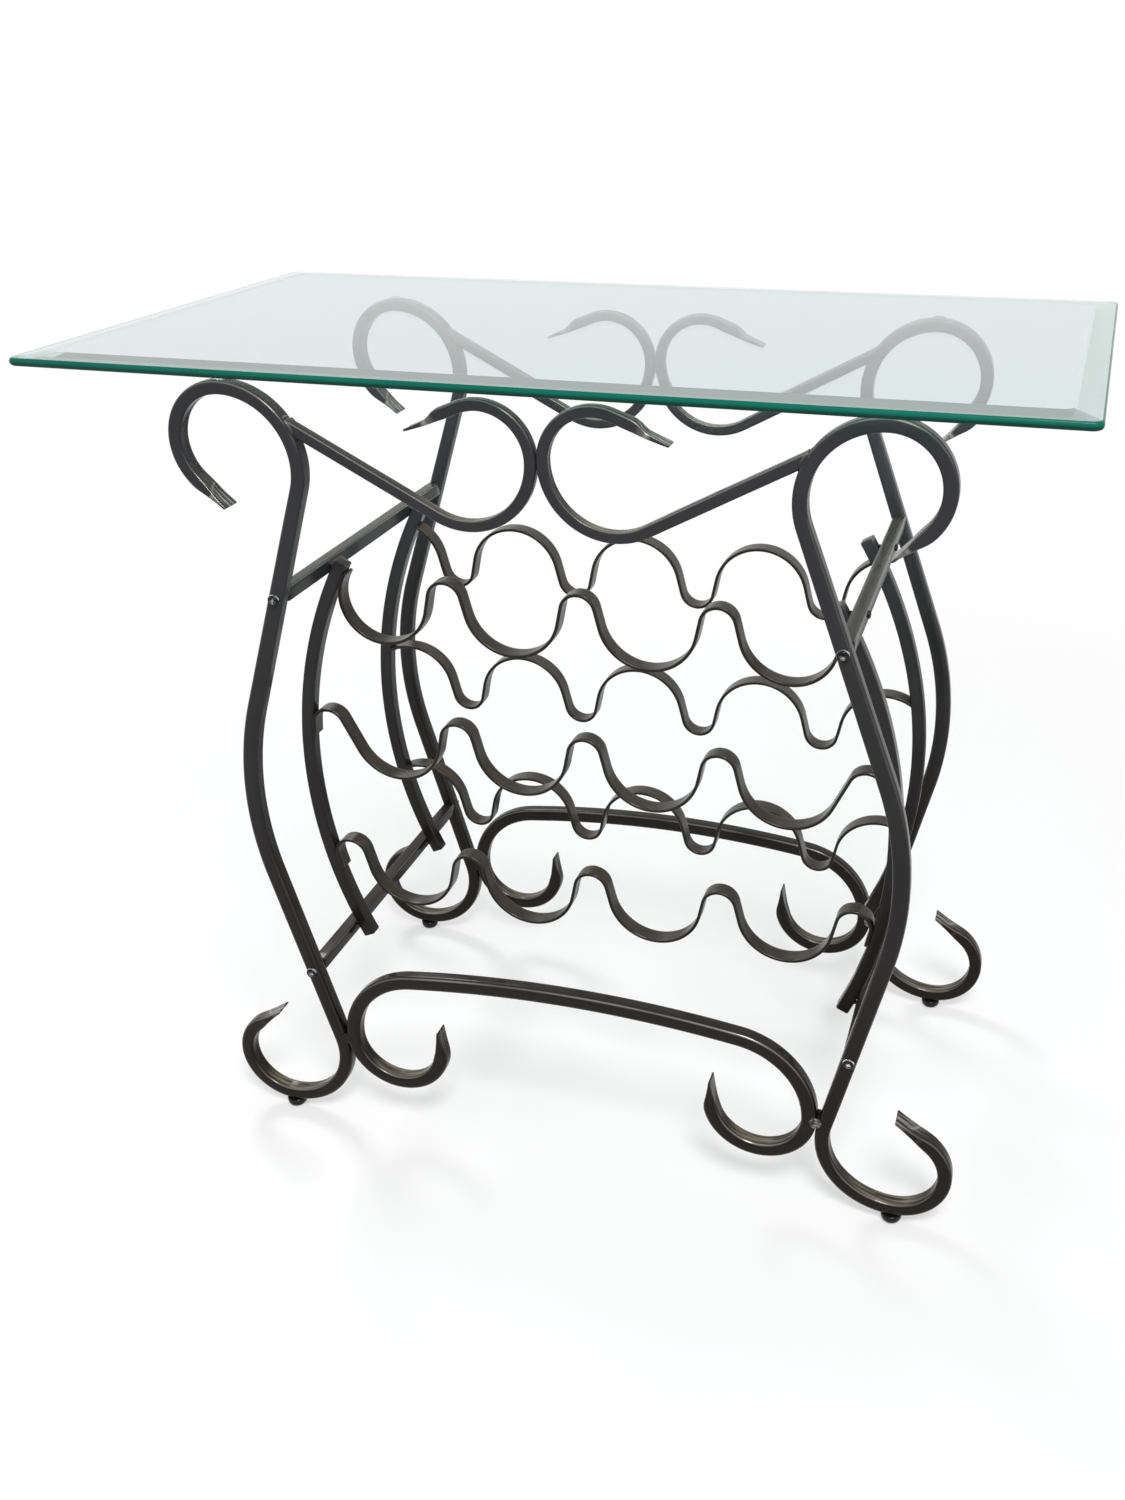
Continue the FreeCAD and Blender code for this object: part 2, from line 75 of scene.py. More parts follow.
def arcRun(centre, radius, start, end, step=spacing["arc"]):
    # evenly spaced points on a circle
    count = max(3, int(round(abs(math.radians(end - start)) * radius / step)))
    angle = np.radians(np.linspace(start, end, count + 1))
    return np.stack([centre[0] + radius * np.cos(angle), centre[1] + radius * np.sin(angle)], 1)


def lineRun(start, end):
    count = max(2, int(round(apart(start, end) / spacing["line"])))
    share = np.linspace(0, 1, count + 1)[:, None]
    return np.asarray(start) * (1 - share) + np.asarray(end) * share


def tailRun(start, heading, length, flick=0.0):
    # from a scroll's end outwards: heading times t, pushed sideways by flick times t squared
    angle = math.radians(heading)
    share = np.linspace(0, 1, spacing["tailPoints"])[:, None]
    ahead = np.array([math.cos(angle), math.sin(angle)])
    side = np.array([-ahead[1], ahead[0]])
    return np.asarray(start) + ahead * share * length + side * share ** 2 * flick


def joinRuns(runs):
    return np.concatenate([runs[0]] + [run[1:] for run in runs[1:]])


def bothHalves(half):
    # half a path with its mirror image in front
    return np.concatenate([half[:0:-1] * np.array([-1.0, 1.0]), half])


def runLength(points):
    # how far along the path each point lies
    return np.concatenate([[0], np.cumsum(np.linalg.norm(np.diff(points, axis=0), axis=1))])


def unitRows(ahead):
    return ahead / np.linalg.norm(ahead, axis=1)[:, None]


def sideways(ahead):
    return np.stack([-ahead[:, 1], ahead[:, 0]], 1)


def smooth(value):
    share = np.clip(value, 0, 1)
    return share * share * (3 - 2 * share)


# Surfaces on a grid

sweep = {
    "cornerPoints": 5, "flatPoints": 5, "bendWindow": 11, "leastHalf": 0.0002, "mostRound": 0.9,
    "lip": 0.0007, "lipIn": (1.0, 0.3, 0.0), "lipAlong": (0.0, 0.35, 1.2),
    "troughBend": 0.06, "troughFrom": 0.6, "troughOver": 0.4, "wearLean": 0.35,
    "straightRings": 31, "straightFlat": 3, "around": 32,
}
sharpAngles = {
    "frame": 35.0, "strip": 35.0, "glide": 50.0, "fastener": 30.0, "pad": 50.0, "weld": 60.0,
}
quarters = [(1, 1), (-1, 1), (-1, -1), (1, -1)]


def ringOfBar(flatPoints):
    # once round a rounded rectangle: how far each point goes with the flat sides and with the
    # corner radius, and its edge mark
    parts = []
    corners = sweep["cornerPoints"]
    share = np.append(np.zeros(corners), np.arange(1, flatPoints + 1) / (flatPoints + 1))
    for turn in range(4):
        phi = np.radians(np.linspace(0, 90, corners) + 90 * turn)
        phi = np.append(phi, np.full(flatPoints, phi[-1]))
        here, there = (np.array(quarters[spot % 4])[:, None] for spot in (turn, turn + 1))
        parts.append(np.concatenate([here + (there - here) * share, [np.cos(phi), np.sin(phi)]]))
    flatA, flatB, arcA, arcB = np.concatenate(parts, 1)
    return flatA, flatB, arcA, arcB, np.abs(arcA * arcB)[None, :] * 2


def endRows(count, lip):
    # how far the three rings at each end draw in and move along, to round the cut
    inset, shift = np.zeros((count, 1)), np.zeros((count, 1))
    inset[:3, 0] = lip * np.array(sweep["lipIn"])
    shift[:3, 0] = lip * np.array(sweep["lipAlong"])
    inset[-3:] = inset[2::-1]
    shift[-3:] = -shift[2::-1]
    return inset, shift


def gridQuads(count, around):
    # point numbers of a grid that closes round, the next point of each, and the faces between
    index = np.arange(count * around).reshape(count, around)
    turned = np.roll(index, -1, 1)
    quads = np.stack([index[:-1], turned[:-1], turned[1:], index[1:]], -1)
    return index, turned, quads.reshape(-1, 4)


def gridChunk(rings, marks):
    # rings of points, closed round and closed at both ends by a middle point
    count, around = rings.shape[:2]
    ends = np.stack([rings[0].mean(0), rings[-1].mean(0)])
    points = np.concatenate([rings.reshape(-1, 3), ends])
    index, turned, quads = gridQuads(count, around)
    first = np.stack([turned[0], index[0], np.full(around, count * around)], -1)
    last = np.stack([index[-1], turned[-1], np.full(around, count * around + 1)], -1)
    values = {}
    for name, grid in marks.items():
        grid = np.broadcast_to(grid, (count, around))
        values[name] = np.concatenate([grid.ravel(), [grid[0].mean(), grid[-1].mean()]])
    tris = np.concatenate([first, last])
    return outward({"points": points, "quads": quads, "tris": tris, "marks": values})


def outward(chunk):
    # a closed surface whose signed volume is negative is turned round
    p = chunk["points"] - chunk["points"].mean(0)
    q = chunk["quads"]
    a, b, c = np.concatenate([q[:, [0, 1, 2]], q[:, [0, 2, 3]], chunk["tris"]]).T
    volume = np.einsum("ij,ij->i", p[a], np.cross(p[b], p[c])).sum()
    if volume < 0:
        chunk["quads"] = q[:, ::-1]
        chunk["tris"] = chunk["tris"][:, ::-1]
    return chunk


def barChunk(path, plane, thick, depth, corner, pinch=0.0, crush=0.0, hammer=0.0, lip=sweep["lip"]):
    # a rounded rectangle carried along a path: point + side * a + Y * b; pinch thins the middle
    # of its width, and crush hollows the inner wall by that much times the curvature
    count = len(path)
    given = (thick, depth, corner, pinch, hammer)
    spread = [np.broadcast_to(np.asarray(v, float), count) for v in given]
    unit = np.diff(path, axis=0)
    stepLength = np.linalg.norm(unit, axis=1)
    unit = unit / stepLength[:, None]
    before, after = unit[:-1], unit[1:]
    tangent = unitRows(np.concatenate([unit[:1], before + after, unit[-1:]]))
    turn = np.arcsin(np.clip(before[:, 0] * after[:, 1] - before[:, 1] * after[:, 0], -1, 1))
    turn = turn / (stepLength[:-1] + stepLength[1:]) * 2
    window = sweep["bendWindow"]
    half = window // 2
    bend = np.convolve(np.pad(turn, half + 1, mode="edge"), np.ones(window) / window, "same")
    order = np.concatenate([[0, 0, 0], np.arange(1, count - 1), [count - 1] * 3])
    bend = bend[half:-half][order][:, None]
    thick, depth, corner, pinch, hammer = (v[order][:, None] for v in spread)
    inset, shift = endRows(len(order), lip)
    side = sideways(tangent[order])
    spot = path[order] + tangent[order] * shift
    flatA, flatB, arcA, arcB, edge = ringOfBar(sweep["flatPoints"])
    halfA = np.maximum(thick / 2 - inset, sweep["leastHalf"])
    halfB = depth / 2 - inset
    radius = np.minimum(corner, np.minimum(halfA, halfB) * sweep["mostRound"])
    b = flatB * (halfB - radius) + arcB * radius
    middle = 1 - np.clip(np.abs(b / halfB), 0, 1) ** 2
    a = (flatA * (halfA - radius) + arcA * radius) * (1 - pinch * middle)
    hollow = crush * bend
    a = a - hollow * np.maximum(arcA * np.sign(hollow), 0) * middle
    rings = np.stack([spot[:, :1] + side[:, :1] * a, plane + b, spot[:, 1:] + side[:, 1:] * a], -1)
    # the inner wall of a bend, as far as it faces up, is where dust stays and a warm reflection is
    # painted
    inner = np.maximum(arcA * np.sign(bend), 0) * np.clip(np.abs(bend) * sweep["troughBend"], 0, 1)
    facing = smooth((side[:, 1:] * arcA - sweep["troughFrom"]) / sweep["troughOver"])
    return gridChunk(rings, {
        "edge": edge, "hammer": np.clip(hammer * (1 + sweep["wearLean"] * b / halfB), 0, 1),
        "along": runLength(spot)[:, None], "across": b, "trough": inner * facing,
    })


def straightChunk(start, end, up, size, corner, lip):
    # the same rounded square on a straight run in any direction
    start, end, up = (np.asarray(v, float) for v in (start, end, up))
    length = np.linalg.norm(end - start)
    ahead = (end - start) / length
    across = np.cross(ahead, up)
    inside = np.linspace(0, length, sweep["straightRings"])[1:-1]
    inset, shift = endRows(len(inside) + 6, lip)
    place = np.concatenate([[0, 0, 0], inside, [length] * 3]) + shift[:, 0]
    flatA, flatB, arcA, arcB, edge = ringOfBar(sweep["straightFlat"])
    half = size / 2 - inset
    a = flatA * (half - corner) + arcA * corner
    b = flatB * (half - corner) + arcB * corner
    rings = start + ahead * place[:, None, None] + across * a[..., None] + up * b[..., None]
    return gridChunk(rings, {"edge": edge, "along": place[:, None], "across": a})


def roundAngles(around):
    return np.linspace(0, 2 * math.pi, around, endpoint=False)


def turnedChunk(profile, foot, axis, factor=1.0, around=sweep["around"], edge=0.0):
    # a profile of radius and height turned round an axis; the factor multiplies the radius, all
    # over or by row and angle
    profile = np.asarray(profile, float)
    angle = roundAngles(around)
    axis = np.asarray(axis, float)
    first = np.cross(axis, [0.0, 0.0, 1.0] if abs(axis[2]) < 0.9 else [1.0, 0.0, 0.0])
    first = first / np.linalg.norm(first)
    second = np.cross(axis, first)
    radius = profile[:, :1] * factor
    rings = np.asarray(foot, float) + axis * profile[:, 1][:, None, None]
    rings = rings + (radius * np.cos(angle))[..., None] * first
    rings = rings + (radius * np.sin(angle))[..., None] * second
    return gridChunk(rings, {"edge": edge, "along": profile[:, 1:], "across": radius})


def mirrorChunk(chunk):
    # the same surface on the other side of the base's middle
    flipped = dict(chunk)
    flipped["points"] = chunk["points"] * np.array([-1.0, 1.0, 1.0])
    flipped["quads"] = chunk["quads"][:, ::-1]
    flipped["tris"] = chunk["tris"][:, ::-1]
    return flipped


def bothSides(chunk):
    return [chunk, mirrorChunk(chunk)]


def underscored(name):
    # the spelling of the CAD names: legFrontLeft becomes leg_front_left
    return "".join("_" + letter.lower() if letter.isupper() else letter for letter in name)


def linkObject(name, data):
    thing = bpy.data.objects.new(name, data)
    scene.collection.objects.link(thing)
    return thing


def hangPiece(name, mesh, body, stands=True):
    # puts a mesh on its body; it stands for the CAD node of the same name
    piece = linkObject(name, mesh)
    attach(piece, body)
    if stands:
        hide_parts(underscored(name))


def addPiece(name, chunks, slot="frame", look=None, body="frame", stands=True):
    # puts the chunks of one piece into one mesh; its material is that of the slot or the look,
    # and a piece that stands for no CAD node is a weld
    points, faces, marks, shift = [], [], {}, 0
    for chunk in chunks:
        points.append(chunk["points"] + np.array([base["x"], base["y"], 0.0]))
        faces += (chunk["quads"] + shift).tolist() + (chunk["tris"] + shift).tolist()
        for key, values in chunk["marks"].items():
            marks.setdefault(key, []).append(values)
        shift += len(chunk["points"])
    mesh = bpy.data.meshes.new(name)
    mesh.from_pydata(np.concatenate(points).tolist(), [], faces)
    for key, values in marks.items():
        layer = mesh.attributes.new(key, "FLOAT", "POINT")
        layer.data.foreach_set("value", np.concatenate(values).astype(np.float32))
    mesh.shade_smooth()
    mesh.set_sharp_from_angle(angle=math.radians(sharpAngles[slot if stands else "weld"]))
    mesh.materials.append(finish[look or slot])
    hangPiece(name, mesh, body, stands)


def addPair(name, chunk):
    # a bar of the frame and its twin on the other side
    addPiece(name + "Right", [chunk])
    addPiece(name + "Left", [mirrorChunk(chunk)])


# Shader nodes

def feed(tree, node, values):
    # sets each input to its number or colour, or links it to a socket
    for label, value in values.items():
        if isinstance(value, (int, float, tuple)):
            node.inputs[label].default_value = value
        else:
            tree.links.new(value, node.inputs[label])
    return node.outputs


def addNode(tree, kind, values, **settings):
    node = tree.nodes.new("ShaderNode" + kind)
    for key, value in settings.items():
        setattr(node, key, value)
    return feed(tree, node, values)


def noiseNode(tree, vector, scale, detail, rough=0.5):
    values = {"Vector": vector, "Scale": scale, "Detail": detail, "Roughness": rough}
    return addNode(tree, "TexNoise", values)["Fac"]


def rangeNode(tree, value, low, high, newLow=0.0, newHigh=1.0):
    limits = {"From Min": low, "From Max": high, "To Min": newLow, "To Max": newHigh}
    return addNode(tree, "MapRange", {"Value": value, **limits})["Result"]


def patchNode(tree, vector, noise, limits):
    # noise of the given scale and detail, brought between limits
    return rangeNode(tree, noiseNode(tree, vector, *noise), *limits)


def mathNode(tree, kind, *values):
    # the same sum with one value after the other; sums and products stay between 0 and 1
    total, clamp = values[0], kind in ("ADD", "MULTIPLY")
    for value in values[1:]:
        total = addNode(tree, "Math", {0: total, 1: value}, operation=kind, use_clamp=clamp)[0]
    return total


def mixColour(tree, factor, first, second):
    return addNode(tree, "Mix", {"Factor": factor, 6: first, 7: second}, data_type="RGBA")[2]


def bumpNode(tree, height, strength, distance, before=None):
    values = {"Height": height, "Strength": strength, "Distance": distance}
    if before is not None:
        values["Normal"] = before
    return addNode(tree, "Bump", values)["Normal"]


def objectSpot(tree):
    return addNode(tree, "TexCoord", {})["Object"]


def upPart(tree, vector):
    return addNode(tree, "SeparateXYZ", {0: vector})["Z"]


def surfaceUp(tree):
    return upPart(tree, addNode(tree, "NewGeometry", {})["Normal"])


def marked(tree, *names):
    # the piece's own marks, by the name of the group's input
    read = {}
    for name in names:
        read[name.title()] = addNode(tree, "Attribute", {}, attribute_name=name)["Fac"]
    return read


def mixSurface(tree, factor, other):
    # where the factor is 1, the other shader takes the place of the material's own
    own = tree.nodes["Principled BSDF"].outputs[0]
    mixed = addNode(tree, "MixShader", {0: factor, 1: own, 2: other})[0]
    feed(tree, tree.nodes["Material Output"], {"Surface": mixed})


def seenRays(tree):
    # 1 for rays from the camera, off a mirror or through glass
    rays = addNode(tree, "LightPath", {})
    kinds = ("Is Camera Ray", "Is Glossy Ray", "Is Transmission Ray")
    return mathNode(tree, "MAXIMUM", *(rays[kind] for kind in kinds))


# Shader groups

def newGroup(name, look, inputs):
    # the look is given the inputs and says what the group puts out
    tree = bpy.data.node_groups.new(name, "ShaderNodeTree")
    for label, value in inputs.items():
        kind = "NodeSocketColor" if isinstance(value, tuple) else "NodeSocketFloat"
        tree.interface.new_socket(label, in_out="INPUT", socket_type=kind).default_value = value
    results = look(tree, tree.nodes.new("NodeGroupInput").outputs)
    for label in results:
        kind = "NodeSocketColor" if label == "Colour" else "NodeSocketFloat"
        tree.interface.new_socket(label, in_out="OUTPUT", socket_type=kind)
    feed(tree, tree.nodes.new("NodeGroupOutput"), results)
    return tree


frameFinish = {
    "coat": {
        "Cool": (0.0265, 0.0268, 0.0288, 1), "Warm": (0.0110, 0.0072, 0.0052, 1),
        "Pale": (0.036, 0.0365, 0.039, 1), "Dust": (0.046, 0.041, 0.034, 1), "Gloss": 0.19,
    },
    "trough": (0.235, 0.205, 0.155, 1), "dustAndReflection": (0.38, 0.62, 0.05, 0.95),
    "rubbedAndHighlight": (0.40, 0.39, 0.37, 1), "edgeAmount": 0.80, "bareMetalAndHighlight": 0.7, "shine": 0.13,
    "grainBump": (0.015, 0.0002), "dentBump": (0.4, 0.0012),
}
coatRanges = {
    "shadeAndSheenHeight": (0.12, 0.6), "cloud": ((9.0, 3.0), (0.40, 0.75, 0.0, 0.6)),
    "dustAndLightFacing": (0.25, 1.0), "dustAndLightPatch": ((35.0, 3.0), (0.3, 0.6, 0.6, 1.0)),
    "dustAndLightHeight": (0.2, 0.6, 0.45, 1.0), "grain": (1500.0, 2.0),
    "speck": ((420.0, 2.0), (0.3, 0.7, -0.015, 0.02)),
    "smear": ((22.0, 3.0), (0.3, 0.7, -0.05, 0.06)),
}


def coatLook(tree, given):
    # powder coat: cloudy tone with a fine grain; darker and warmer near the floor as painted shade,
    # cooler with pale clouds higher up as painted sheen
    spot = objectSpot(tree)
    height = upPart(tree, spot)
    # painted shade and sheen: the tone darkens towards the floor and turns cooler and paler higher up
    high = rangeNode(tree, height, *coatRanges["shadeAndSheenHeight"])
    tone = mixColour(tree, high, given["Warm"], given["Cool"])
    cloud = mathNode(tree, "MULTIPLY", patchNode(tree, spot, *coatRanges["cloud"]), high)
    tone = mixColour(tree, cloud, tone, given["Pale"])
    # dust with painted light from above: faces that turn up, more so higher up, are lightened in
    # patches
    facing = rangeNode(tree, surfaceUp(tree), *coatRanges["dustAndLightFacing"])
    patch = patchNode(tree, spot, *coatRanges["dustAndLightPatch"])
    above = rangeNode(tree, height, *coatRanges["dustAndLightHeight"])
    settledAndLit = mathNode(tree, "MULTIPLY", facing, patch, above)
    speck, smear = (patchNode(tree, spot, *coatRanges[key]) for key in ("speck", "smear"))
    return {
        "Colour": mixColour(tree, settledAndLit, tone, given["Dust"]),
        "Roughness": mathNode(tree, "ADD", given["Gloss"], speck, smear),
        "Height": noiseNode(tree, spot, *coatRanges["grain"]),
    }


rubAndHighlightRanges = {
    "patchy": ((12.0, 3.0), (0.30, 0.70, 0.3, 1.0)), "upward": (0.1, 0.75), "line": (0.78, 1.0),
    "scuffed": (0.50, 0.60), "beaten": (0.15, 0.9, 0.0, 0.9), "creaseFrom": (0.42, 0.49),
    "creaseTo": (0.49, 0.57, 0.8, 0.0), "creaseBreak": (0.38, 0.56), "cells": 120.0, "fold": 0.5,
}


def rubAndHighlightLook(tree, given):
    # rubbed places: corners that face up, where the finish is thin and a painted highlight is laid,
    # and hammered ends
    spot = objectSpot(tree)
    hammer, streak = given["Hammer"], given["Streak"]
    patchy = patchNode(tree, spot, *rubAndHighlightRanges["patchy"])
    upward = rangeNode(tree, surfaceUp(tree), *rubAndHighlightRanges["upward"])
    line = rangeNode(tree, given["Edge"], *rubAndHighlightRanges["line"])
    # painted highlight with wear: rounded edges that face up are lightened like a lamp's glint
    corner = mathNode(tree, "MULTIPLY", patchy, upward, line, given["Amount"])
    scuffed = mathNode(tree, "MAXIMUM", rangeNode(tree, streak, *rubAndHighlightRanges["scuffed"]), line)
    beaten = mathNode(tree, "MULTIPLY", rangeNode(tree, hammer, *rubAndHighlightRanges["beaten"]), scuffed)
    parts = (hammer, "creaseFrom"), (hammer, "creaseTo"), (streak, "creaseBreak")
    crease = mathNode(tree, "MULTIPLY", *(rangeNode(tree, s, *rubAndHighlightRanges[key]) for s, key in parts))
    cells = {"Vector": spot, "Scale": rubAndHighlightRanges["cells"]}
    cells = addNode(tree, "TexVoronoi", cells, feature="SMOOTH_F1")["Distance"]
    folds = (mathNode(tree, "MULTIPLY", part, rubAndHighlightRanges["fold"]) for part in (cells, streak))
    return {
        "Mask": mathNode(tree, "MAXIMUM", corner, beaten, crease),
        "Dent": mathNode(tree, "MULTIPLY", mathNode(tree, "ADD", *folds), hammer),
        "Upward": upward,
    }


grainRanges = {"along": 0.05, "across": 0.0026, "streak": (1.0, 3.0), "cloud": (45.0, 5.0, 0.6)}


def grainLook(tree, given):
    # rolling marks that follow a bar or strip, from the piece's own run and width
    place = addNode(tree, "CombineXYZ", {
        "X": mathNode(tree, "DIVIDE", given["Along"], grainRanges["along"]),
        "Y": mathNode(tree, "DIVIDE", given["Across"], grainRanges["across"]),
    })[0]
    return {
        "Streak": noiseNode(tree, place, *grainRanges["streak"]),
        "Cloud": noiseNode(tree, objectSpot(tree), *grainRanges["cloud"]),
    }


rubAndHighlightInputs = {"Edge": 0.0, "Hammer": 0.0, "Streak": 0.5, "Amount": 0.4}
groups = {
    "coat": newGroup("coatTone", coatLook, frameFinish["coat"]),
    "rub": newGroup("rubbedEdgeAndHighlight", rubAndHighlightLook, rubAndHighlightInputs),
    "grain": newGroup("rollingMarks", grainLook, {"Along": 0.0, "Across": 0.0}),
}


def placeGroup(tree, key, values):
    return addNode(tree, "Group", values, node_tree=groups[key])


# Materials

def newMaterial(name, look, values):
    # the look puts nodes into the tree and says what goes into the shader
    material = bpy.data.materials.new(name)
    material.use_nodes = True
    tree = material.node_tree
    feed(tree, tree.nodes["Principled BSDF"], look(tree, values))
    return material


def frameLook(tree, values):
    # charcoal powder coat on bent bar
    coat = placeGroup(tree, "coat", values["coat"])
    grain = placeGroup(tree, "grain", marked(tree, "along", "across"))
    wear = {"Streak": grain["Streak"], "Amount": values["edgeAmount"]}
    rub = placeGroup(tree, "rub", {**marked(tree, "edge", "hammer"), **wear})
    # pale trough colour: dust with a painted warm reflection on the inner walls of bends
    streaky = rangeNode(tree, grain["Streak"], *values["dustAndReflection"])
    dustAndReflection = mathNode(tree, "MULTIPLY", marked(tree, "trough")["Trough"], streaky)
    tone = mixColour(tree, dustAndReflection, coat["Colour"], values["trough"])
    fine = bumpNode(tree, coat["Height"], *values["grainBump"])
    # worn places and painted edge highlights take the rubbed colour and some metal
    return {
        "Base Color": mixColour(tree, rub["Mask"], tone, values["rubbedAndHighlight"]),
        "Roughness": coat["Roughness"],
        "Metallic": mathNode(tree, "MULTIPLY", rub["Mask"], values["bareMetalAndHighlight"]),
        "Normal": bumpNode(tree, rub["Dent"], *values["dentBump"], fine),
        "Specular IOR Level": values["shine"],
    }


stripFinish = {
    "dark": (0.012, 0.0100, 0.0085, 1), "light": (0.024, 0.0195, 0.0155, 1), "patch": (0.35, 0.72),
    "worn": (0.050, 0.0415, 0.032, 1), "wear": (0.3, 0.7, 0.35, 1.0),
    "rubbedAndHighlight": (0.26, 0.24, 0.21, 1), "edgeAmount": 0.6, "roughness": (0.3, 0.7, 0.24, 0.38),
    "metal": (0.3, 0.7, 0.55, 0.85), "bump": (0.15, 0.0002),
}


def stripLook(tree, values):
    # flat bar with a worn bronze-grey finish, lighter on faces that turn up as painted sheen
    grain = placeGroup(tree, "grain", marked(tree, "along", "across"))
    rub = placeGroup(tree, "rub", {**marked(tree, "edge"), "Amount": values["edgeAmount"]})
    patch = rangeNode(tree, grain["Cloud"], *values["patch"])
    tone = mixColour(tree, patch, values["dark"], values["light"])
    # faces that turn up are lightened along the streaks: wear with a painted sheen
    wear = rangeNode(tree, grain["Streak"], *values["wear"])
    worn = mathNode(tree, "MULTIPLY", rub["Upward"], wear)
    tone = mixColour(tree, worn, tone, values["worn"])
    return {
        "Base Color": mixColour(tree, rub["Mask"], tone, values["rubbedAndHighlight"]),
        "Roughness": rangeNode(tree, grain["Streak"], *values["roughness"]),
        "Metallic": rangeNode(tree, grain["Cloud"], *values["metal"]),
        "Normal": bumpNode(tree, grain["Streak"], *values["bump"]),
    }


glideFinish = {
    "coat": {
        "Cool": (0.003, 0.003, 0.003, 1), "Warm": (0.003, 0.0028, 0.0026, 1),
        "Pale": (0.006, 0.006, 0.006, 1), "Dust": (0.012, 0.011, 0.010, 1), "Gloss": 0.16,
    },
    "shine": 0.25, "bump": (0.05, 0.0002),
}


def glideLook(tree, values):
    # smooth black moulded glide with a trace of dust and painted top light
    coat = placeGroup(tree, "coat", values["coat"])
    return {
        "Base Color": coat["Colour"], "Roughness": coat["Roughness"],
        "Normal": bumpNode(tree, coat["Height"], *values["bump"]),
        "Specular IOR Level": values["shine"],
    }


fastenerFinish = {
    "coat": {
        "Cool": (0.006, 0.006, 0.0065, 1), "Warm": (0.006, 0.0058, 0.0055, 1),
        "Pale": (0.010, 0.010, 0.011, 1), "Dust": (0.016, 0.016, 0.016, 1), "Gloss": 0.12,
    },
    "rubbedAndHighlight": (0.75, 0.76, 0.78, 1), "edgeAmount": 1.8, "shine": 0.2, "bump": (0.03, 0.0002),
}


def fastenerLook(tree, values):
    # dark oxide bolts with brighter wear and a painted highlight crescent on the upper rims
    look = glideLook(tree, values)
    edge = {**marked(tree, "edge"), "Amount": values["edgeAmount"]}
    look["Metallic"] = placeGroup(tree, "rub", edge)["Mask"]
    look["Base Color"] = mixColour(tree, look["Metallic"], look["Base Color"], values["rubbedAndHighlight"])
    return look


weldFinish = {
    "scar": (420.0, 4.0, 0.6), "bareFrom": (0.42, 0.58), "dark": (0.018, 0.016, 0.015, 1),
    "bare": (0.26, 0.25, 0.24, 1), "roughness": (0.3, 0.7, 0.3, 0.55), "metal": 0.7,
    "bump": (0.9, 0.0008),
}


def weldLook(tree, values):
    # bare weld, ground rough
    scar = noiseNode(tree, objectSpot(tree), *values["scar"])
    bare = rangeNode(tree, scar, *values["bareFrom"])
    return {
        "Base Color": mixColour(tree, bare, values["dark"], values["bare"]),
        "Roughness": rangeNode(tree, scar, *values["roughness"]),
        "Metallic": values["metal"],
        "Normal": bumpNode(tree, scar, *values["bump"]),
    }


def letLampsThrough(tree, tint):
    # rays from lamps pass the glass as through a tinted film
    clear = addNode(tree, "BsdfTransparent", {"Color": tint})[0]
    mixSurface(tree, addNode(tree, "LightPath", {})["Is Shadow Ray"], clear)


clearFinish = {
    "glass": {
        "tint": (0.63, 0.735, 0.725, 1), "clear": 1.0, "bend": 1.5, "film": (0.86, 0.93, 0.91, 1),
        "haze": ((7.0, 5.0, 0.6), (0.45, 0.8, 0.0, 0.035)),
    },
    "bevel": {
        "tint": (0.52, 0.64, 0.605, 1), "clear": 0.62, "bend": 1.5, "film": (0.86, 0.93, 0.91, 1),
        "haze": ((160.0, 3.0), (0.35, 0.7, 0.01, 0.06)),
    },
    "pad": {
        "tint": (0.26, 0.29, 0.28, 1), "clear": 0.9, "bend": 1.45, "film": (0.8, 0.82, 0.81, 1),
        "haze": ((200.0, 2.0), (0.3, 0.7, 0.12, 0.3)),
    },
}


def clearLook(tree, values):
    # the sheet with wiping marks in its polish, its ground slope, or clear soft plastic
    letLampsThrough(tree, values["film"])
    return {
        "Base Color": values["tint"], "Transmission Weight": values["clear"], "IOR": values["bend"],
        "Roughness": patchNode(tree, objectSpot(tree), *values["haze"]),
    }


edgeFinish = {
    "high": (0.003, 0.140, 0.098, 1), "low": (0.0012, 0.044, 0.029, 1), "band": (0.7706, 0.7728),
    "wander": ((9.0, 3.0), (0.3, 0.7, 0.7, 1.0)), "polish": ((60.0, 2.0), (0.3, 0.7, 0.14, 0.24)),
    "shine": 0.1, "film": (0.3, 0.7, 0.6, 1),
}


def edgeLook(tree, values):
    # the sheet seen through its own length: deep green, with a painted reflection, lighter above its
    # middle and darker below
    letLampsThrough(tree, values["film"])
    spot = objectSpot(tree)
    # painted reflection: the upper half of the edge lighter, the lower half darker
    band = rangeNode(tree, upPart(tree, spot), *values["band"])
    band = mathNode(tree, "MULTIPLY", band, patchNode(tree, spot, *values["wander"]))
    return {
        "Base Color": mixColour(tree, band, values["low"], values["high"]),
        "Roughness": patchNode(tree, spot, *values["polish"]),
        "Specular IOR Level": values["shine"],
    }


finish = {
    "frame": newMaterial("charcoalCoat", frameLook, frameFinish),
    "strip": newMaterial("bronzeStrip", stripLook, stripFinish),
    "glide": newMaterial("glideBlack", glideLook, glideFinish),
    "fastener": newMaterial("darkFastener", fastenerLook, fastenerFinish),
    "weld": newMaterial("groundWeld", weldLook, weldFinish),
    "glass": newMaterial("clearGlass", clearLook, clearFinish["glass"]),
    "bevel": newMaterial("glassBevel", clearLook, clearFinish["bevel"]),
    "edge": newMaterial("greenEdge", edgeLook, edgeFinish),
    "pad": newMaterial("clearPad", clearLook, clearFinish["pad"]),
}
print("materials ready:", len(finish))


# Bars

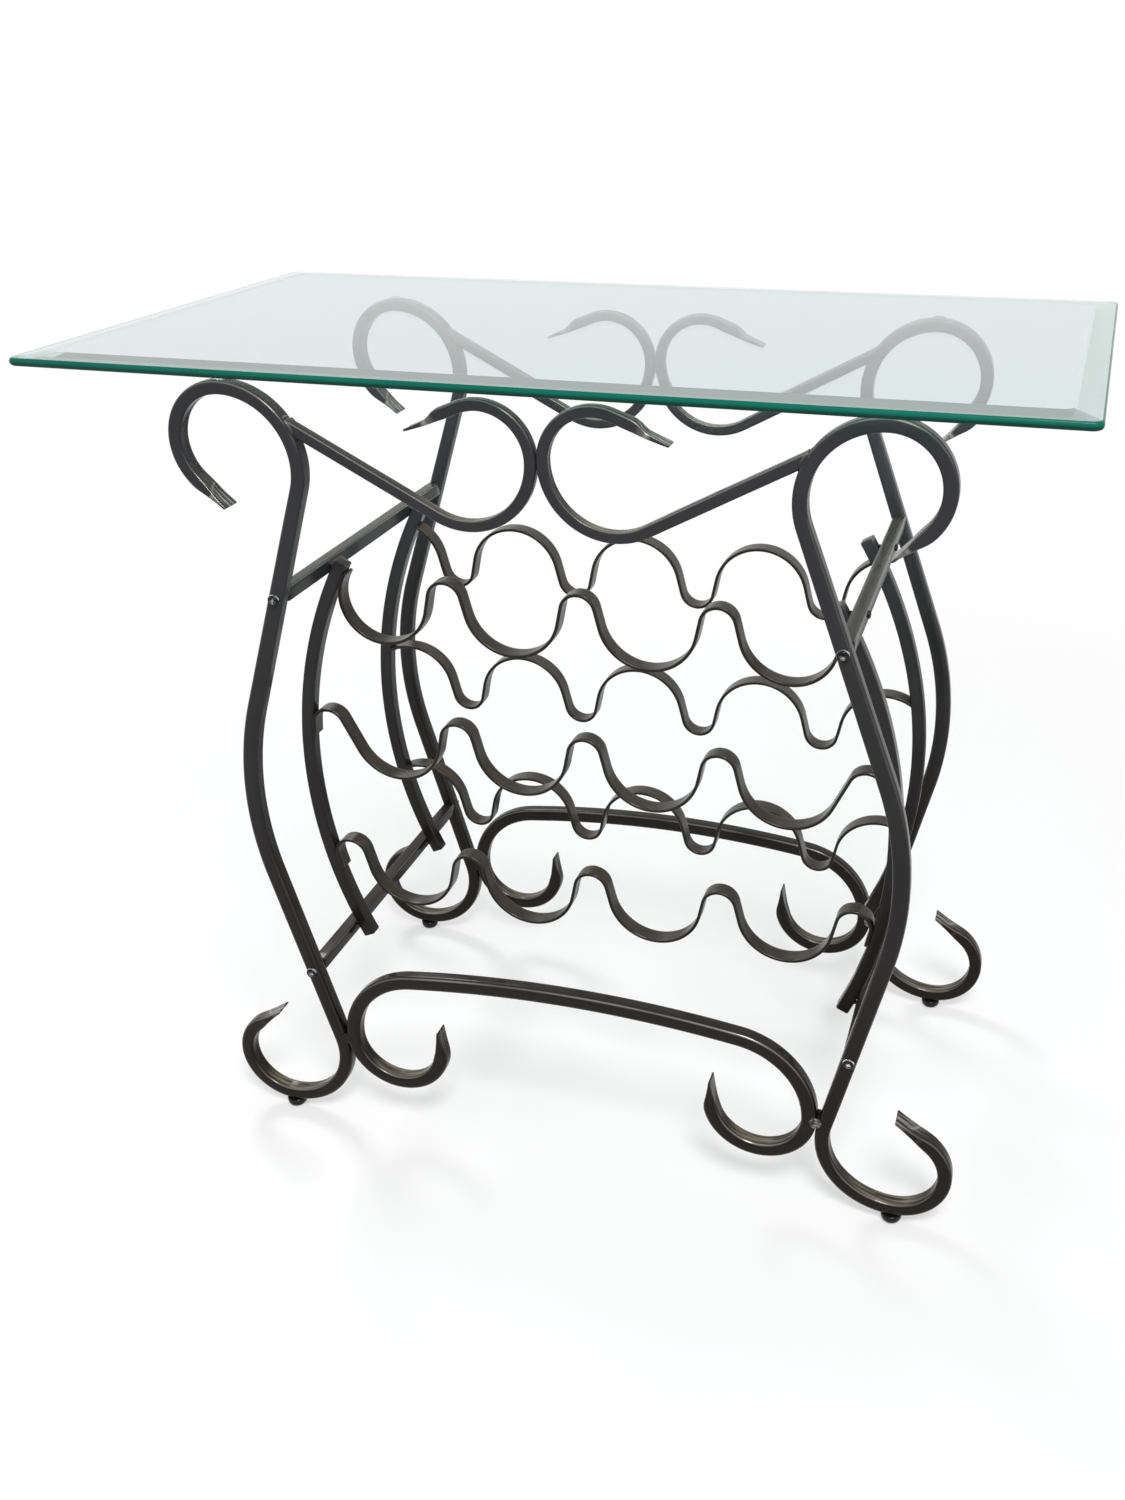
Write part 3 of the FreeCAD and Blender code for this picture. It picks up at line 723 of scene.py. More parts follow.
tail = {
    "tip": 0.0020, "power": 1.6, "ease": 0.35, "spread": 0.004,
    "pinch": 0.15, "pinchFrom": 0.1, "pinchOver": 0.5, "wearFrom": 1.1,
}
bar = {"crush": 0.000045, "corner": 0.28}
leg = {
    "tube": 0.0152, "topThick": 0.0124, "footThick": 0.0140, "topZ": 0.7665, "topOut": 0.020,
    "topSmall": 0.0475, "topLarge": 0.0635, "topTurn": 50, "topTail": 0.030, "topTaper": 0.036,
    "bowOut": 0.0491, "bowShare": 0.476, "bowRadius": 0.312,
    "footOut": 0.0577, "footSmall": 0.0463, "footLarge": 0.0674, "footTurn": 52,
    "footTail": 0.037, "footTaper": 0.044, "footZ": 0.0095, "wear": (1.0, 0.65),
}

halfLeg = leg["tube"] / 2
halfTop = leg["topThick"] / 2
halfFoot = leg["footThick"] / 2
legTopX = base["rackHalf"] + leg["topOut"]
footX = base["rackHalf"] + leg["footOut"]
topSmall = (legTopX, leg["topZ"] - halfTop - leg["topSmall"])
topLarge = (legTopX, leg["topZ"] - halfTop - leg["topLarge"])
bow = (base["rackHalf"] + leg["bowOut"] - leg["bowRadius"], leg["topZ"] * leg["bowShare"])
footLarge = (footX, leg["footZ"] + halfFoot + leg["footLarge"])
footSmall = (footX, leg["footZ"] + halfFoot + leg["footSmall"])
bowStart, neckEnd = crossingTangent(bow, leg["bowRadius"], topLarge, leg["topLarge"], -1)
bowEnd, waistStart = crossingTangent(bow, leg["bowRadius"], footLarge, leg["footLarge"], 1)


def tailShape(path, thick, depth, tapers, spread=tail["spread"], power=tail["power"], wear=(1.0, 1.0)):
    # towards each hammered end the bar thins to its tip by a power of what is left, widens
    # and pinches
    run = runLength(path)
    count = len(path)
    thin = np.broadcast_to(np.asarray(thick, float), count)
    wide, pinch, hammer = np.full(count, depth), np.zeros(count), np.zeros(count)
    ease, tip = tail["ease"], tail["tip"]
    for length, left, amount in zip(tapers, (run, run[-1] - run), wear):
        if length:
            share = np.clip(1 - left / length, 0, 1)
            soft = np.where(share < ease, share ** 2 / (2 * ease), share - ease / 2)
            thin = tip + (thin - tip) * (1 - soft / (1 - ease / 2)) ** power
            wide = wide + spread * share
            pinched = smooth((share - tail["pinchFrom"]) / tail["pinchOver"])
            pinch = pinch + tail["pinch"] * pinched
            hammer = np.maximum(hammer, amount * smooth(tail["wearFrom"] - left / length))
    return {
        "thick": thin, "depth": wide, "corner": bar["corner"] * np.minimum(thin, wide),
        "pinch": pinch, "hammer": hammer, "crush": bar["crush"],
    }


def legChunk(plane):
    # the runs in order, each with the bar's thickness at its start and its end
    topEnd = polar(topSmall, leg["topSmall"], -leg["topTurn"])
    footEnd = polar(footSmall, leg["footSmall"], leg["footTurn"])
    top, full, foot = leg["topThick"], leg["tube"], leg["footThick"]
    bowTurns = angleTo(bow, bowStart), angleTo(bow, bowEnd)
    waistTurn = angleTo(footLarge, waistStart) % 360
    runs = [
        (tailRun(topEnd, -leg["topTurn"] - 90, leg["topTail"])[::-1], top, top),
        (arcRun(topSmall, leg["topSmall"], -leg["topTurn"], 90), top, top),
        (arcRun(topLarge, leg["topLarge"], 90, angleTo(topLarge, neckEnd) % 360), top, top),
        (lineRun(neckEnd, bowStart), top, full),
        (arcRun(bow, leg["bowRadius"], *bowTurns, spacing["longArc"]), full, full),
        (lineRun(bowEnd, waistStart), full, foot),
        (arcRun(footLarge, leg["footLarge"], waistTurn, 270), foot, foot),
        (arcRun(footSmall, leg["footSmall"], 270, 360 + leg["footTurn"]), foot, foot),
        (tailRun(footEnd, leg["footTurn"] + 90, leg["footTail"]), foot, foot),
    ]
    thick = joinRuns([np.linspace(first, last, len(run)) for run, first, last in runs])
    path = joinRuns([run for run, first, last in runs])
    tapers = leg["topTaper"], leg["footTaper"]
    return barChunk(path, plane, **tailShape(path, thick, full, tapers, wear=leg["wear"]))


apron = {
    "tube": 0.0105, "drop": 0.004, "weldGap": 0.0002, "small": 0.043, "large": 0.057, "turn": 68,
    "tail": 0.049, "taper": 0.046, "spread": 0.003, "step": (0.28, 0.60), "tongue": 0.0046,
    "butt": 143, "stop": 0.8, "flick": 0.003,
}
halfApron = apron["tube"] / 2
apronTouch = halfApron + apron["weldGap"] / 2
apronLevel = leg["topZ"] - apron["drop"] - halfApron - apron["small"]
apronSmall = (apronTouch + apron["small"], apronLevel)
apronLarge = (apronTouch + apron["large"], apronLevel)


def apronChunk(plane):
    # a hammered end, one loop, and a straight run that butts against the leg's scroll
    butt = polar(topLarge, leg["topLarge"], apron["butt"])
    lean = math.degrees(math.acos(apron["large"] / apart(apronLarge, butt)))
    leave = (angleTo(apronLarge, butt) - lean) % 360
    start = polar(apronLarge, apron["large"], leave)
    stop = butt + (start - butt) / apart(start, butt) * halfTop * apron["stop"]
    end = polar(apronSmall, apron["small"], apron["turn"])
    path = joinRuns([
        tailRun(end, apron["turn"] - 90, apron["tail"], apron["flick"])[::-1],
        arcRun(apronSmall, apron["small"], apron["turn"], 180),
        arcRun(apronLarge, apron["large"], 180, leave),
        lineRun(start, stop),
    ])
    # the hammered tongue steps down from the bar and stays flush with its under side
    tube = apron["tube"]
    shape = tailShape(path, tube, tube, (apron["taper"], 0), apron["spread"])
    share = np.clip(1 - runLength(path) / apron["taper"], 0, 1)
    low, high = apron["step"]
    thinning = np.clip((share - high) / (1 - high), 0, 1)
    tongue = apron["tongue"] + (tail["tip"] - apron["tongue"]) * thinning
    shape["thick"] = tube + (tongue - tube) * smooth((share - low) / (high - low))
    shape["corner"] = bar["corner"] * shape["thick"]
    side = sideways(unitRows(np.gradient(path, axis=0)))
    path = path + side * ((tube - shape["thick"]) / 2)[:, None]
    return barChunk(path, plane, **shape)


stretcher = {
    "middle": 0.1955, "arch": 1.170, "loopZ": 0.106, "small": 0.047, "turn": 180, "tail": 0.024,
    "taper": 0.038, "spread": 0.001, "power": 1.3, "wear": (0.35, 0.35), "weldGap": 0.0002,
}
# the loops touch the legs' foot scrolls, and a larger circle joins each loop to the arch
loopZ, loopSmall, arch = stretcher["loopZ"], stretcher["small"], stretcher["arch"]
weldRun = leg["footLarge"] + halfFoot + stretcher["weldGap"] + halfLeg + loopSmall
stretcherOut = footX - math.sqrt(weldRun ** 2 - (loopZ - footLarge[1]) ** 2) + loopSmall
archCentre = (0.0, stretcher["middle"] - arch)
loopRise = loopZ - archCentre[1]
loopLarge = (arch ** 2 - stretcherOut ** 2 - loopRise ** 2) / (2 * (arch - stretcherOut))
loopLargeCentre = (stretcherOut - loopLarge, loopZ)
loopSmallCentre = (stretcherOut - loopSmall, loopZ)


def stretcherChunk(plane):
    archEnd = angleTo(archCentre, loopLargeCentre)
    end = polar(loopSmallCentre, loopSmall, -stretcher["turn"])
    path = bothHalves(joinRuns([
        arcRun(archCentre, arch, 90, archEnd, spacing["arch"]),
        arcRun(loopLargeCentre, loopLarge, archEnd, 0),
        arcRun(loopSmallCentre, loopSmall, 0, -stretcher["turn"]),
        tailRun(end, -stretcher["turn"] - 90, stretcher["tail"]),
    ]))
    tapers = stretcher["taper"], stretcher["taper"]
    ends = {key: stretcher[key] for key in ("spread", "power", "wear")}
    return barChunk(path, plane, **tailShape(path, leg["tube"], leg["tube"], tapers, **ends))


for row, way in rows:
    plane = way * base["legPlane"]
    addPiece("stretcher" + row, [stretcherChunk(plane)])
    addPair("leg" + row, legChunk(plane))
    addPair("apronScroll" + row, apronChunk(plane))
print("legs, apron scrolls and stretchers done")


# Rack

rack = {
    "tube": 0.0127, "corner": 0.0016, "upperDrop": 0.1895, "lowerZ": 0.180, "bow": 0.043,
    "foot": 0.002, "seat": 0.0001, "railLip": 0.0001, "postLip": 0.0009,
}
upperZ, lowerZ = leg["topZ"] - rack["upperDrop"], rack["lowerZ"]
halfRail = rack["tube"] / 2


def onRun(start, end, height):
    # where a straight run of the leg reaches a height
    return start[0] + (height - start[1]) / (end[1] - start[1]) * (end[0] - start[0])


upperX, lowerX = onRun(neckEnd, bowStart, upperZ), onRun(bowEnd, waistStart, lowerZ)
railSpots = {"Upper": (upperX, upperZ), "Lower": (lowerX, lowerZ)}
railReach = base["legPlane"] - halfLeg
for level, (x, z) in railSpots.items():
    ends = (x, -railReach, z), (x, railReach, z)
    chunk = straightChunk(*ends, (0, 0, 1), rack["tube"], rack["corner"], rack["railLip"])
    addPair("sideRail" + level, chunk)

postHigh = (upperX - halfRail - rack["seat"], upperZ - halfRail)
postLow = (lowerX - halfRail - rack["seat"], lowerZ + halfRail)
postOuter = (apart(postHigh, postLow) ** 2 / 4 + rack["bow"] ** 2) / (2 * rack["bow"])
postMiddle = ((postHigh[0] + postLow[0]) / 2, (postHigh[1] + postLow[1]) / 2)
postCentre = polar(postMiddle, postOuter - rack["bow"], angleTo(postLow, postHigh) + 90)
postRadius = postOuter - halfRail
postFace = postRadius - halfRail
postTop = upperZ + halfRail
postBottom = lowerZ - halfRail - rack["foot"]


def turnAtHeight(radius, height):
    return math.degrees(math.asin((height - postCentre[1]) / radius))


for row, way in rows:
    turns = [turnAtHeight(postRadius, height) for height in (postTop, postBottom)]
    path = arcRun(postCentre, postRadius, *turns, spacing["longArc"])
    size = {"thick": rack["tube"], "depth": rack["tube"], "corner": rack["corner"]}
    addPair("rackPost" + row, barChunk(path, way * base["postPlane"], **size, lip=rack["postLip"]))
print("rails and posts done")

strip = {
    "width": 0.016, "thick": 0.003, "corner": 0.0007, "neck": 0.016, "flankRoom": 0.0025,
    "rise": 0.068, "cradle": [0.9924, 0.5593, 0.1185], "necks": [0.9726, 0.5441, 0.1064],
    "tab": 0.016, "topTabDrop": 0.010, "bite": 0.0015, "step": 0.003, "lip": 0.0003,
}
halfPitch = base["halfPitch"]
neck, halfStrip = strip["neck"], strip["thick"] / 2
bottleRadius = halfPitch - neck - strip["flankRoom"]
seatRadius = postFace - rack["seat"] - halfStrip


def stripArc(centre, radius, start, end):
    return arcRun(centre, radius, start, end, strip["step"])


def waveRuns(low, lowRadius, highRadius, lastCentre):
    # from the middle bend outwards: crest, flank, hollow, flank, to the last crest
    level = low + strip["rise"] - halfStrip - highRadius
    highs = [(0.0, level), (2 * halfPitch, level), lastCentre]
    bottom = low + halfStrip + lowRadius
    lows = [(halfPitch, bottom), (3 * halfPitch, bottom)]
    runs, enter = [], 90.0
    for here, hollow, there in zip(highs, lows, highs[1:]):
        leave, meet = crossingTangent(here, highRadius, hollow, lowRadius, 1)
        runs += [stripArc(here, highRadius, enter, angleTo(here, leave)), lineRun(leave, meet)]
        enter = angleTo(hollow, meet) % 360
        leave, meet = crossingTangent(hollow, lowRadius, there, highRadius, -1)
        away = angleTo(hollow, leave) % 360
        runs += [stripArc(hollow, lowRadius, enter, away), lineRun(leave, meet)]
        enter = angleTo(there, meet)
    return runs, enter


def stripChunk(runs, plane):
    path = bothHalves(joinRuns(runs))
    return barChunk(path, plane, strip["thick"], strip["width"], strip["corner"], lip=strip["lip"])


def cradleChunk(low):
    # the end bend turns down on to the post and runs along it
    high = low + strip["rise"] - halfStrip
    rise = high - neck - postCentre[1]
    end = (postCentre[0] + math.sqrt((seatRadius - neck) ** 2 - rise ** 2), high - neck)
    runs, enter = waveRuns(low, bottleRadius, neck, end)
    touch = angleTo(postCentre, end)
    runs.append(stripArc(end, neck, enter, touch))
    tabEnd = touch - math.degrees(strip["tab"] / seatRadius)
    runs.append(stripArc(postCentre, seatRadius, touch, tabEnd))
    return stripChunk(runs, -base["postPlane"])


def topCradleChunk(low):
    # the outer cups rise straight on to the posts; the runs up to the outer flank are kept
    beyond = (base["rackHalf"], low + strip["rise"] - halfStrip - neck)
    runs = waveRuns(low, bottleRadius, neck, beyond)[0][:6]
    line = low + halfStrip
    cup = (3 * halfPitch, line + bottleRadius)
    rise, across = line - postCentre[1], cup[0] - postCentre[0]
    endRadius = (seatRadius ** 2 - rise ** 2 - across ** 2) / (2 * (rise + seatRadius))
    endCup = (cup[0], line + endRadius)
    touch = angleTo(postCentre, endCup)
    runs.append(stripArc(cup, bottleRadius, angleTo(cup, runs[-1][-1]) % 360, 270))
    runs.append(stripArc(endCup, endRadius, 270, 360 + touch))
    tabEnd = turnAtHeight(seatRadius, postTop - strip["topTabDrop"])
    runs.append(stripArc(postCentre, seatRadius, touch, tabEnd))
    return stripChunk(runs, -base["postPlane"])


def neckChunk(low):
    # the outer wide bends run into the posts
    end = (base["rackHalf"], low + strip["rise"] - halfStrip - bottleRadius)
    runs, enter = waveRuns(low, neck, bottleRadius, end)
    reach, face = apart(end, postCentre), postFace + strip["bite"]
    bend = (reach ** 2 + bottleRadius ** 2 - face ** 2) / (2 * reach * bottleRadius)
    meet = (angleTo(end, postCentre) - math.degrees(math.acos(bend))) % 360
    runs.append(stripArc(end, bottleRadius, enter, meet))
    return stripChunk(runs, base["postPlane"])


stripRoom = upperZ - lowerZ - strip["rise"]
for spot, level in enumerate(("Top", "Middle", "Bottom")):
    makeCradle = topCradleChunk if level == "Top" else cradleChunk
    cradle = makeCradle(lowerZ + strip["cradle"][spot] * stripRoom)
    addPiece("cradleStrip" + level, [cradle], "strip")
    addPiece("neckStrip" + level, [neckChunk(lowerZ + strip["necks"][spot] * stripRoom)], "strip")
print("waved strips done")


# Feet and fasteners

glide = {
    "height": 0.0092, "wide": 0.0100, "flat": 0.0058, "round": 0.0060, "roundPoints": 10,
    "sole": 0.002, "shoulder": ((0.0, 0.0012), (0.0004, 0.0003), (0.0012, 0.0)),
    "stud": 0.003, "studTop": 0.0215, "chamfer": 0.0005,
}


def glideChunk(x, y):
    # a flat sole, a quarter ellipse up to the widest place, a small shoulder, then the stud
    swing = np.radians(np.linspace(-90, 0, glide["roundPoints"]))
    wide, high, stud, top = (glide[key] for key in ("wide", "height", "stud", "studTop"))
    out = glide["flat"] + (wide - glide["flat"]) * np.cos(swing)
    dome = np.stack([out, glide["round"] * (1 + np.sin(swing))], 1)
    shoulder = [(wide - inward, high - down) for inward, down in glide["shoulder"]]
    cut = glide["chamfer"]
    shaft = [(stud, high), (stud, top - cut), (stud - cut, top)]
    profile = np.concatenate([[(glide["sole"], 0.0)], dome, shoulder, shaft])
    return turnedChunk(profile, (x, y, 0.0), (0, 0, 1))


for row, way in rows:
    for hand, side in (("Left", -1), ("Right", 1)):
        chunk = glideChunk(side * footX, way * base["legPlane"])
        body = underscored("glide" + row + hand)
        addPiece("footGlide" + row + hand, [chunk], "glide", body=body)

bolt = {
    "radius": 0.0055, "height": 0.0032, "socket": 0.0024, "deep": 0.0021,
    "shank": 0.003, "length": 0.0335,
}
screw = {
    "radius": 0.0036, "height": 0.0021, "socket": 0.0012, "deep": 0.0012,
    "shank": 0.002, "length": 0.0195,
}
# shares of the socket's radius and the head's height, then lengths for the small cuts
head = {
    "domeTurn": 62, "domePoints": 9, "rim": 1.32, "side": 0.12, "dome": 0.84,
    "point": (0.05, 0.6), "floor": 0.97, "wall": 0.97, "lip": 1.06, "wallFoot": 0.0001,
    "neck": (0.0002, 0.0003), "tip": (0.0006, 0.0005),
    "socketRows": 5, "wornAndHighlightRows": (9, 13), "cross": (1.15, 0.45), "around": 48,
}


def hexagon(angle):
    # distance from the middle of a hexagon to its side, largest at the corners
    return 1.0 / np.cos((angle % (math.pi / 3)) - math.pi / 6)


def crossed(angle):
    # four lobes of a crossed recess
    middle, lobe = head["cross"]
    return middle + lobe * np.cos(4 * angle)


def headChunk(size, foot, axis, recess, worn):
    # drill point, socket floor and wall, flat rim, dome, then the shank behind
    dome = np.radians(np.linspace(head["domeTurn"], 0, head["domePoints"]))
    r, h, s, shank = (size[key] for key in ("radius", "height", "socket", "shank"))
    floor, end = h - size["deep"], -size["length"]
    flat = s * head["rim"]
    up = h * head["side"] + h * head["dome"] * np.sin(dome) / math.sin(dome[0])
    outer = np.stack([flat + (r - flat) * np.cos(dome), up], 1)
    inner = [
        (s * head["point"][0], floor - s * head["point"][1]), (s * head["floor"], floor),
        (s, floor + head["wallFoot"]), (s, h * head["wall"]), (s * head["lip"], h),
    ]
    behind = [
        (r, 0.0), (shank + head["neck"][0], 0.0), (shank, -head["neck"][1]),
        (shank, end + head["tip"][1]), (shank - head["tip"][0], end),
    ]
    profile = np.concatenate([inner, outer, behind])
    row = np.arange(len(profile))[:, None]
    socket = row < head["socketRows"]
    # the socket lip and the rim rows carry the edge mark: wear, and a painted highlight crescent where
    # they face up
    rim = (row >= head["wornAndHighlightRows"][0]) & (row <= head["wornAndHighlightRows"][1])
    factor = np.where(socket, recess(roundAngles(head["around"])), 1.0)
    return turnedChunk(profile, foot, axis, factor, head["around"], (rim | socket) * worn)


bolts, screws = [], []
for x, z in railSpots.values():
    for way in (-1, 1):
        foot = (x, way * (base["legPlane"] + halfLeg), z)
        bolts += bothSides(headChunk(bolt, foot, (0, way, 0), hexagon, 1.0))
        foot = (x + halfRail, way * base["postPlane"], z)
        screws += bothSides(headChunk(screw, foot, (1, 0, 0), crossed, 0.0))
addPiece("railBolts", bolts, "fastener")
addPiece("postScrews", screws, "fastener")

pad = {
    "radius": 0.006, "height": 0.0015, "middle": 0.001, "shoulder": 0.0022,
    "round": ((0.0002, 0.0), (0.0, 0.0003), (0.0002, 0.0009), (0.0010, 0.00135)),
}
pads = []
padSide = [(pad["radius"] - inward, up) for inward, up in pad["round"]]
padTop = [(pad["radius"] - pad["shoulder"], pad["height"]), (pad["middle"], pad["height"])]
padProfile = [(pad["middle"], 0.0)] + padSide + padTop
for way in (-1, 1):
    foot = (legTopX, way * base["legPlane"], leg["topZ"])
    pads += bothSides(turnedChunk(padProfile, foot, (0, 0, 1)))
addPiece("glassPads", pads, "pad")

weld = {
    "radius": 0.0058, "shift": (-0.0005, 0.0072), "proud": 0.0007, "sunk": 0.0004, "under": 0.001,
    "lumps": ((0.06, 3, 1), (0.05, 7, 7), (0.03, 13, 0)), "around": 40,
    "share": (1.0, 0.98, 0.9, 0.78, 0.6, 0.35, 0.1),
    "rise": (-0.6, 0.3, 0.75, 1.0, 0.9, 0.75, 0.7),
}


def weldChunk(centre, plane, way):
    # a low lens with a lumpy outline: the radius varies as a sum of sines of the angle, and
    # each ring, a share of the radius out, has its own rise
    angle = roundAngles(weld["around"])
    waves = (high * np.sin(times * angle + turn) for high, times, turn in weld["lumps"])
    lump = sum(waves, 1)
    share = np.array(weld["share"])[:, None]
    rise = np.array(weld["rise"])[:, None] * weld["proud"]
    x = centre[0] + weld["radius"] * share * lump * np.cos(angle)
    z = centre[1] + weld["radius"] * share * lump * np.sin(angle)
    y = plane + way * (halfLeg - weld["sunk"] + np.broadcast_to(rise, x.shape))
    lens = np.stack([x, y, z], -1)
    under = lens[0].copy()
    under[:, 1] -= way * weld["under"]
    rings = np.concatenate([under[None], lens])
    return gridChunk(rings, {"along": x[:1], "across": z[:1]})


bareWelds, coatedWelds = [], []
contactTurn = angleTo(footLarge, loopSmallCentre)
contact = polar(footLarge, leg["footLarge"] + halfFoot, contactTurn) + np.array(weld["shift"])
for row, side in rows:
    for way in (-1, 1):
        chunk = weldChunk(contact, side * base["legPlane"], way)
        bareWelds.append(chunk)
        coatedWelds.append(mirrorChunk(chunk))
addPiece("stretcherWeldsRight", bareWelds, look="weld", stands=False)
addPiece("stretcherWeldsLeft", coatedWelds, stands=False)

bead = {
    "corner": (0.0021, 0.0050), "sink": 0.0014, "turns": (143.9, 159.2),
    "seam": (0.0024, 0.0070), "seamOut": 0.0050,
    "swing": 85, "points": 13, "blunt": 0.6, "around": 16, "worn": 0.92,
}


def beadChunk(size, foot, axis):
    # a blunt spindle: the radius goes with a power of the cosine, the length with the sine
    swing = np.radians(np.linspace(-bead["swing"], bead["swing"], bead["points"]))
    radius, reach = size
    profile = np.stack([radius * np.cos(swing) ** bead["blunt"], reach * np.sin(swing)], 1)
    # the bead's edge mark paints a highlight along its upper side
    return turnedChunk(profile, foot, axis, 1.0, bead["around"], bead["worn"])


beads = []
seamTurn = sum(bead["turns"]) / 2
seamX, seamZ = polar(topLarge, leg["topLarge"] + halfTop, seamTurn)
seamAlong = polar((0.0, 0.0), 1.0, seamTurn + 90)
for row, side in rows:
    plane = side * base["legPlane"]
    for turn in bead["turns"]:
        x, z = polar(topLarge, leg["topLarge"] + halfTop - bead["sink"], turn)
        beads += bothSides(beadChunk(bead["corner"], (x, plane, z), (0, 1, 0)))
    for way in (-1, 1):
        foot = (seamX, plane + way * bead["seamOut"], seamZ)
        beads += bothSides(beadChunk(bead["seam"], foot, (seamAlong[0], 0.0, seamAlong[1])))
addPiece("apronWelds", beads, stands=False)
print("feet, fasteners and welds done")


# Glass

glass = {
    "length": 0.900, "depth": 0.465, "thick": 0.0095, "corner": 0.007, "cornerPoints": 9,
    "under": 0.7681, "turn": -1.3, "bevel": 0.022, "edgeHigh": 0.0072, "edgeRound": 0.0024,
    "edgeTurn": (-90, 75), "edgePoints": 12,
}


def sheetOutline(inset, height):
    # a rectangle with round corners, drawn in by the inset, once round
    x, y, r = glass["length"] / 2 - inset, glass["depth"] / 2 - inset, glass["corner"]
    parts = []
    for turn, (sx, sy) in enumerate(quarters):
        phi = np.radians(np.linspace(0, 90, glass["cornerPoints"]) + 90 * turn)
        parts.append(np.stack([sx * (x - r) + r * np.cos(phi), sy * (y - r) + r * np.sin(phi)], 1))
    flat = np.concatenate(parts)
    return np.c_[flat, np.full(len(flat), glass["under"] + height)]


def glassPiece():
    # outlines stacked up a half-round edge, then in along the bevel to the flat top
    phi = np.radians(np.linspace(*glass["edgeTurn"], glass["edgePoints"]))
    insets = np.append(glass["edgeRound"] * (1 - np.cos(phi)), glass["bevel"])
    heights = np.append(glass["edgeHigh"] / 2 * (1 + np.sin(phi)), glass["thick"])
    rings = np.stack([sheetOutline(inset, z) for inset, z in zip(insets, heights)])
    turn = math.radians(glass["turn"])
    turning = [[math.cos(turn), math.sin(turn)], [-math.sin(turn), math.cos(turn)]]
    points = np.concatenate([rings[..., :2] @ np.array(turning), rings[..., 2:]], -1)
    count, around = points.shape[:2]
    index, turned, quads = gridQuads(count, around)
    faces = quads.tolist() + [index[0][::-1].tolist(), index[-1].tolist()]
    mesh = bpy.data.meshes.new("glassTop")
    mesh.from_pydata(points.reshape(-1, 3).tolist(), [], faces)
    mesh.shade_smooth()
    pairs = np.zeros(len(mesh.edges) * 2, np.int32)
    mesh.edges.foreach_get("vertices", pairs)
    level = pairs.reshape(-1, 2) // around
    crease = (level[:, 0] == level[:, 1]) & np.isin(level[:, 0], (0, count - 2, count - 1))
    mesh.attributes.new("sharp_edge", "BOOLEAN", "EDGE").data.foreach_set("value", crease)
    for key in ("glass", "edge", "bevel"):
        mesh.materials.append(finish[key])
    kinds = np.zeros(len(faces), np.int32)
    kinds[:(count - 2) * around] = 1
    kinds[(count - 2) * around:(count - 1) * around] = 2
    mesh.polygons.foreach_set("material_index", kinds)
    hangPiece("glassTop", mesh, "glass")


glassPiece()
print("glass done")


# Floor, light and camera

stage = {
    "floor": (0.93, 0.93, 0.93, 1), "roughness": 0.9, "reach": 30.0, "drop": 0.0003,
    "fill": 0.39, "shadowReach": (0.55, 1.5), "shadowLift": 0.45,
}


def floorLook(tree, values):
    # pale floor, white to the camera apart from the shadow near the object
    away = addNode(tree, "VectorMath", {0: objectSpot(tree)}, operation="LENGTH")["Value"]
    fade = rangeNode(tree, away, *values["shadowReach"], values["shadowLift"], 1.0)
    white = mathNode(tree, "MULTIPLY", seenRays(tree), fade)
    mixSurface(tree, white, addNode(tree, "Emission", {})[0])
    return {
        "Base Color": values["floor"], "Roughness": values["roughness"], "Specular IOR Level": 0.0,
    }


def floorPiece():
    mesh = bpy.data.meshes.new("floor")
    r, z = stage["reach"], -stage["drop"]
    mesh.from_pydata([(-r, -r, z), (r, -r, z), (r, r, z), (-r, r, z)], [], [(0, 1, 2, 3)])
    mesh.materials.append(newMaterial("paleFloor", floorLook, stage))
    piece = linkObject("floor", mesh)


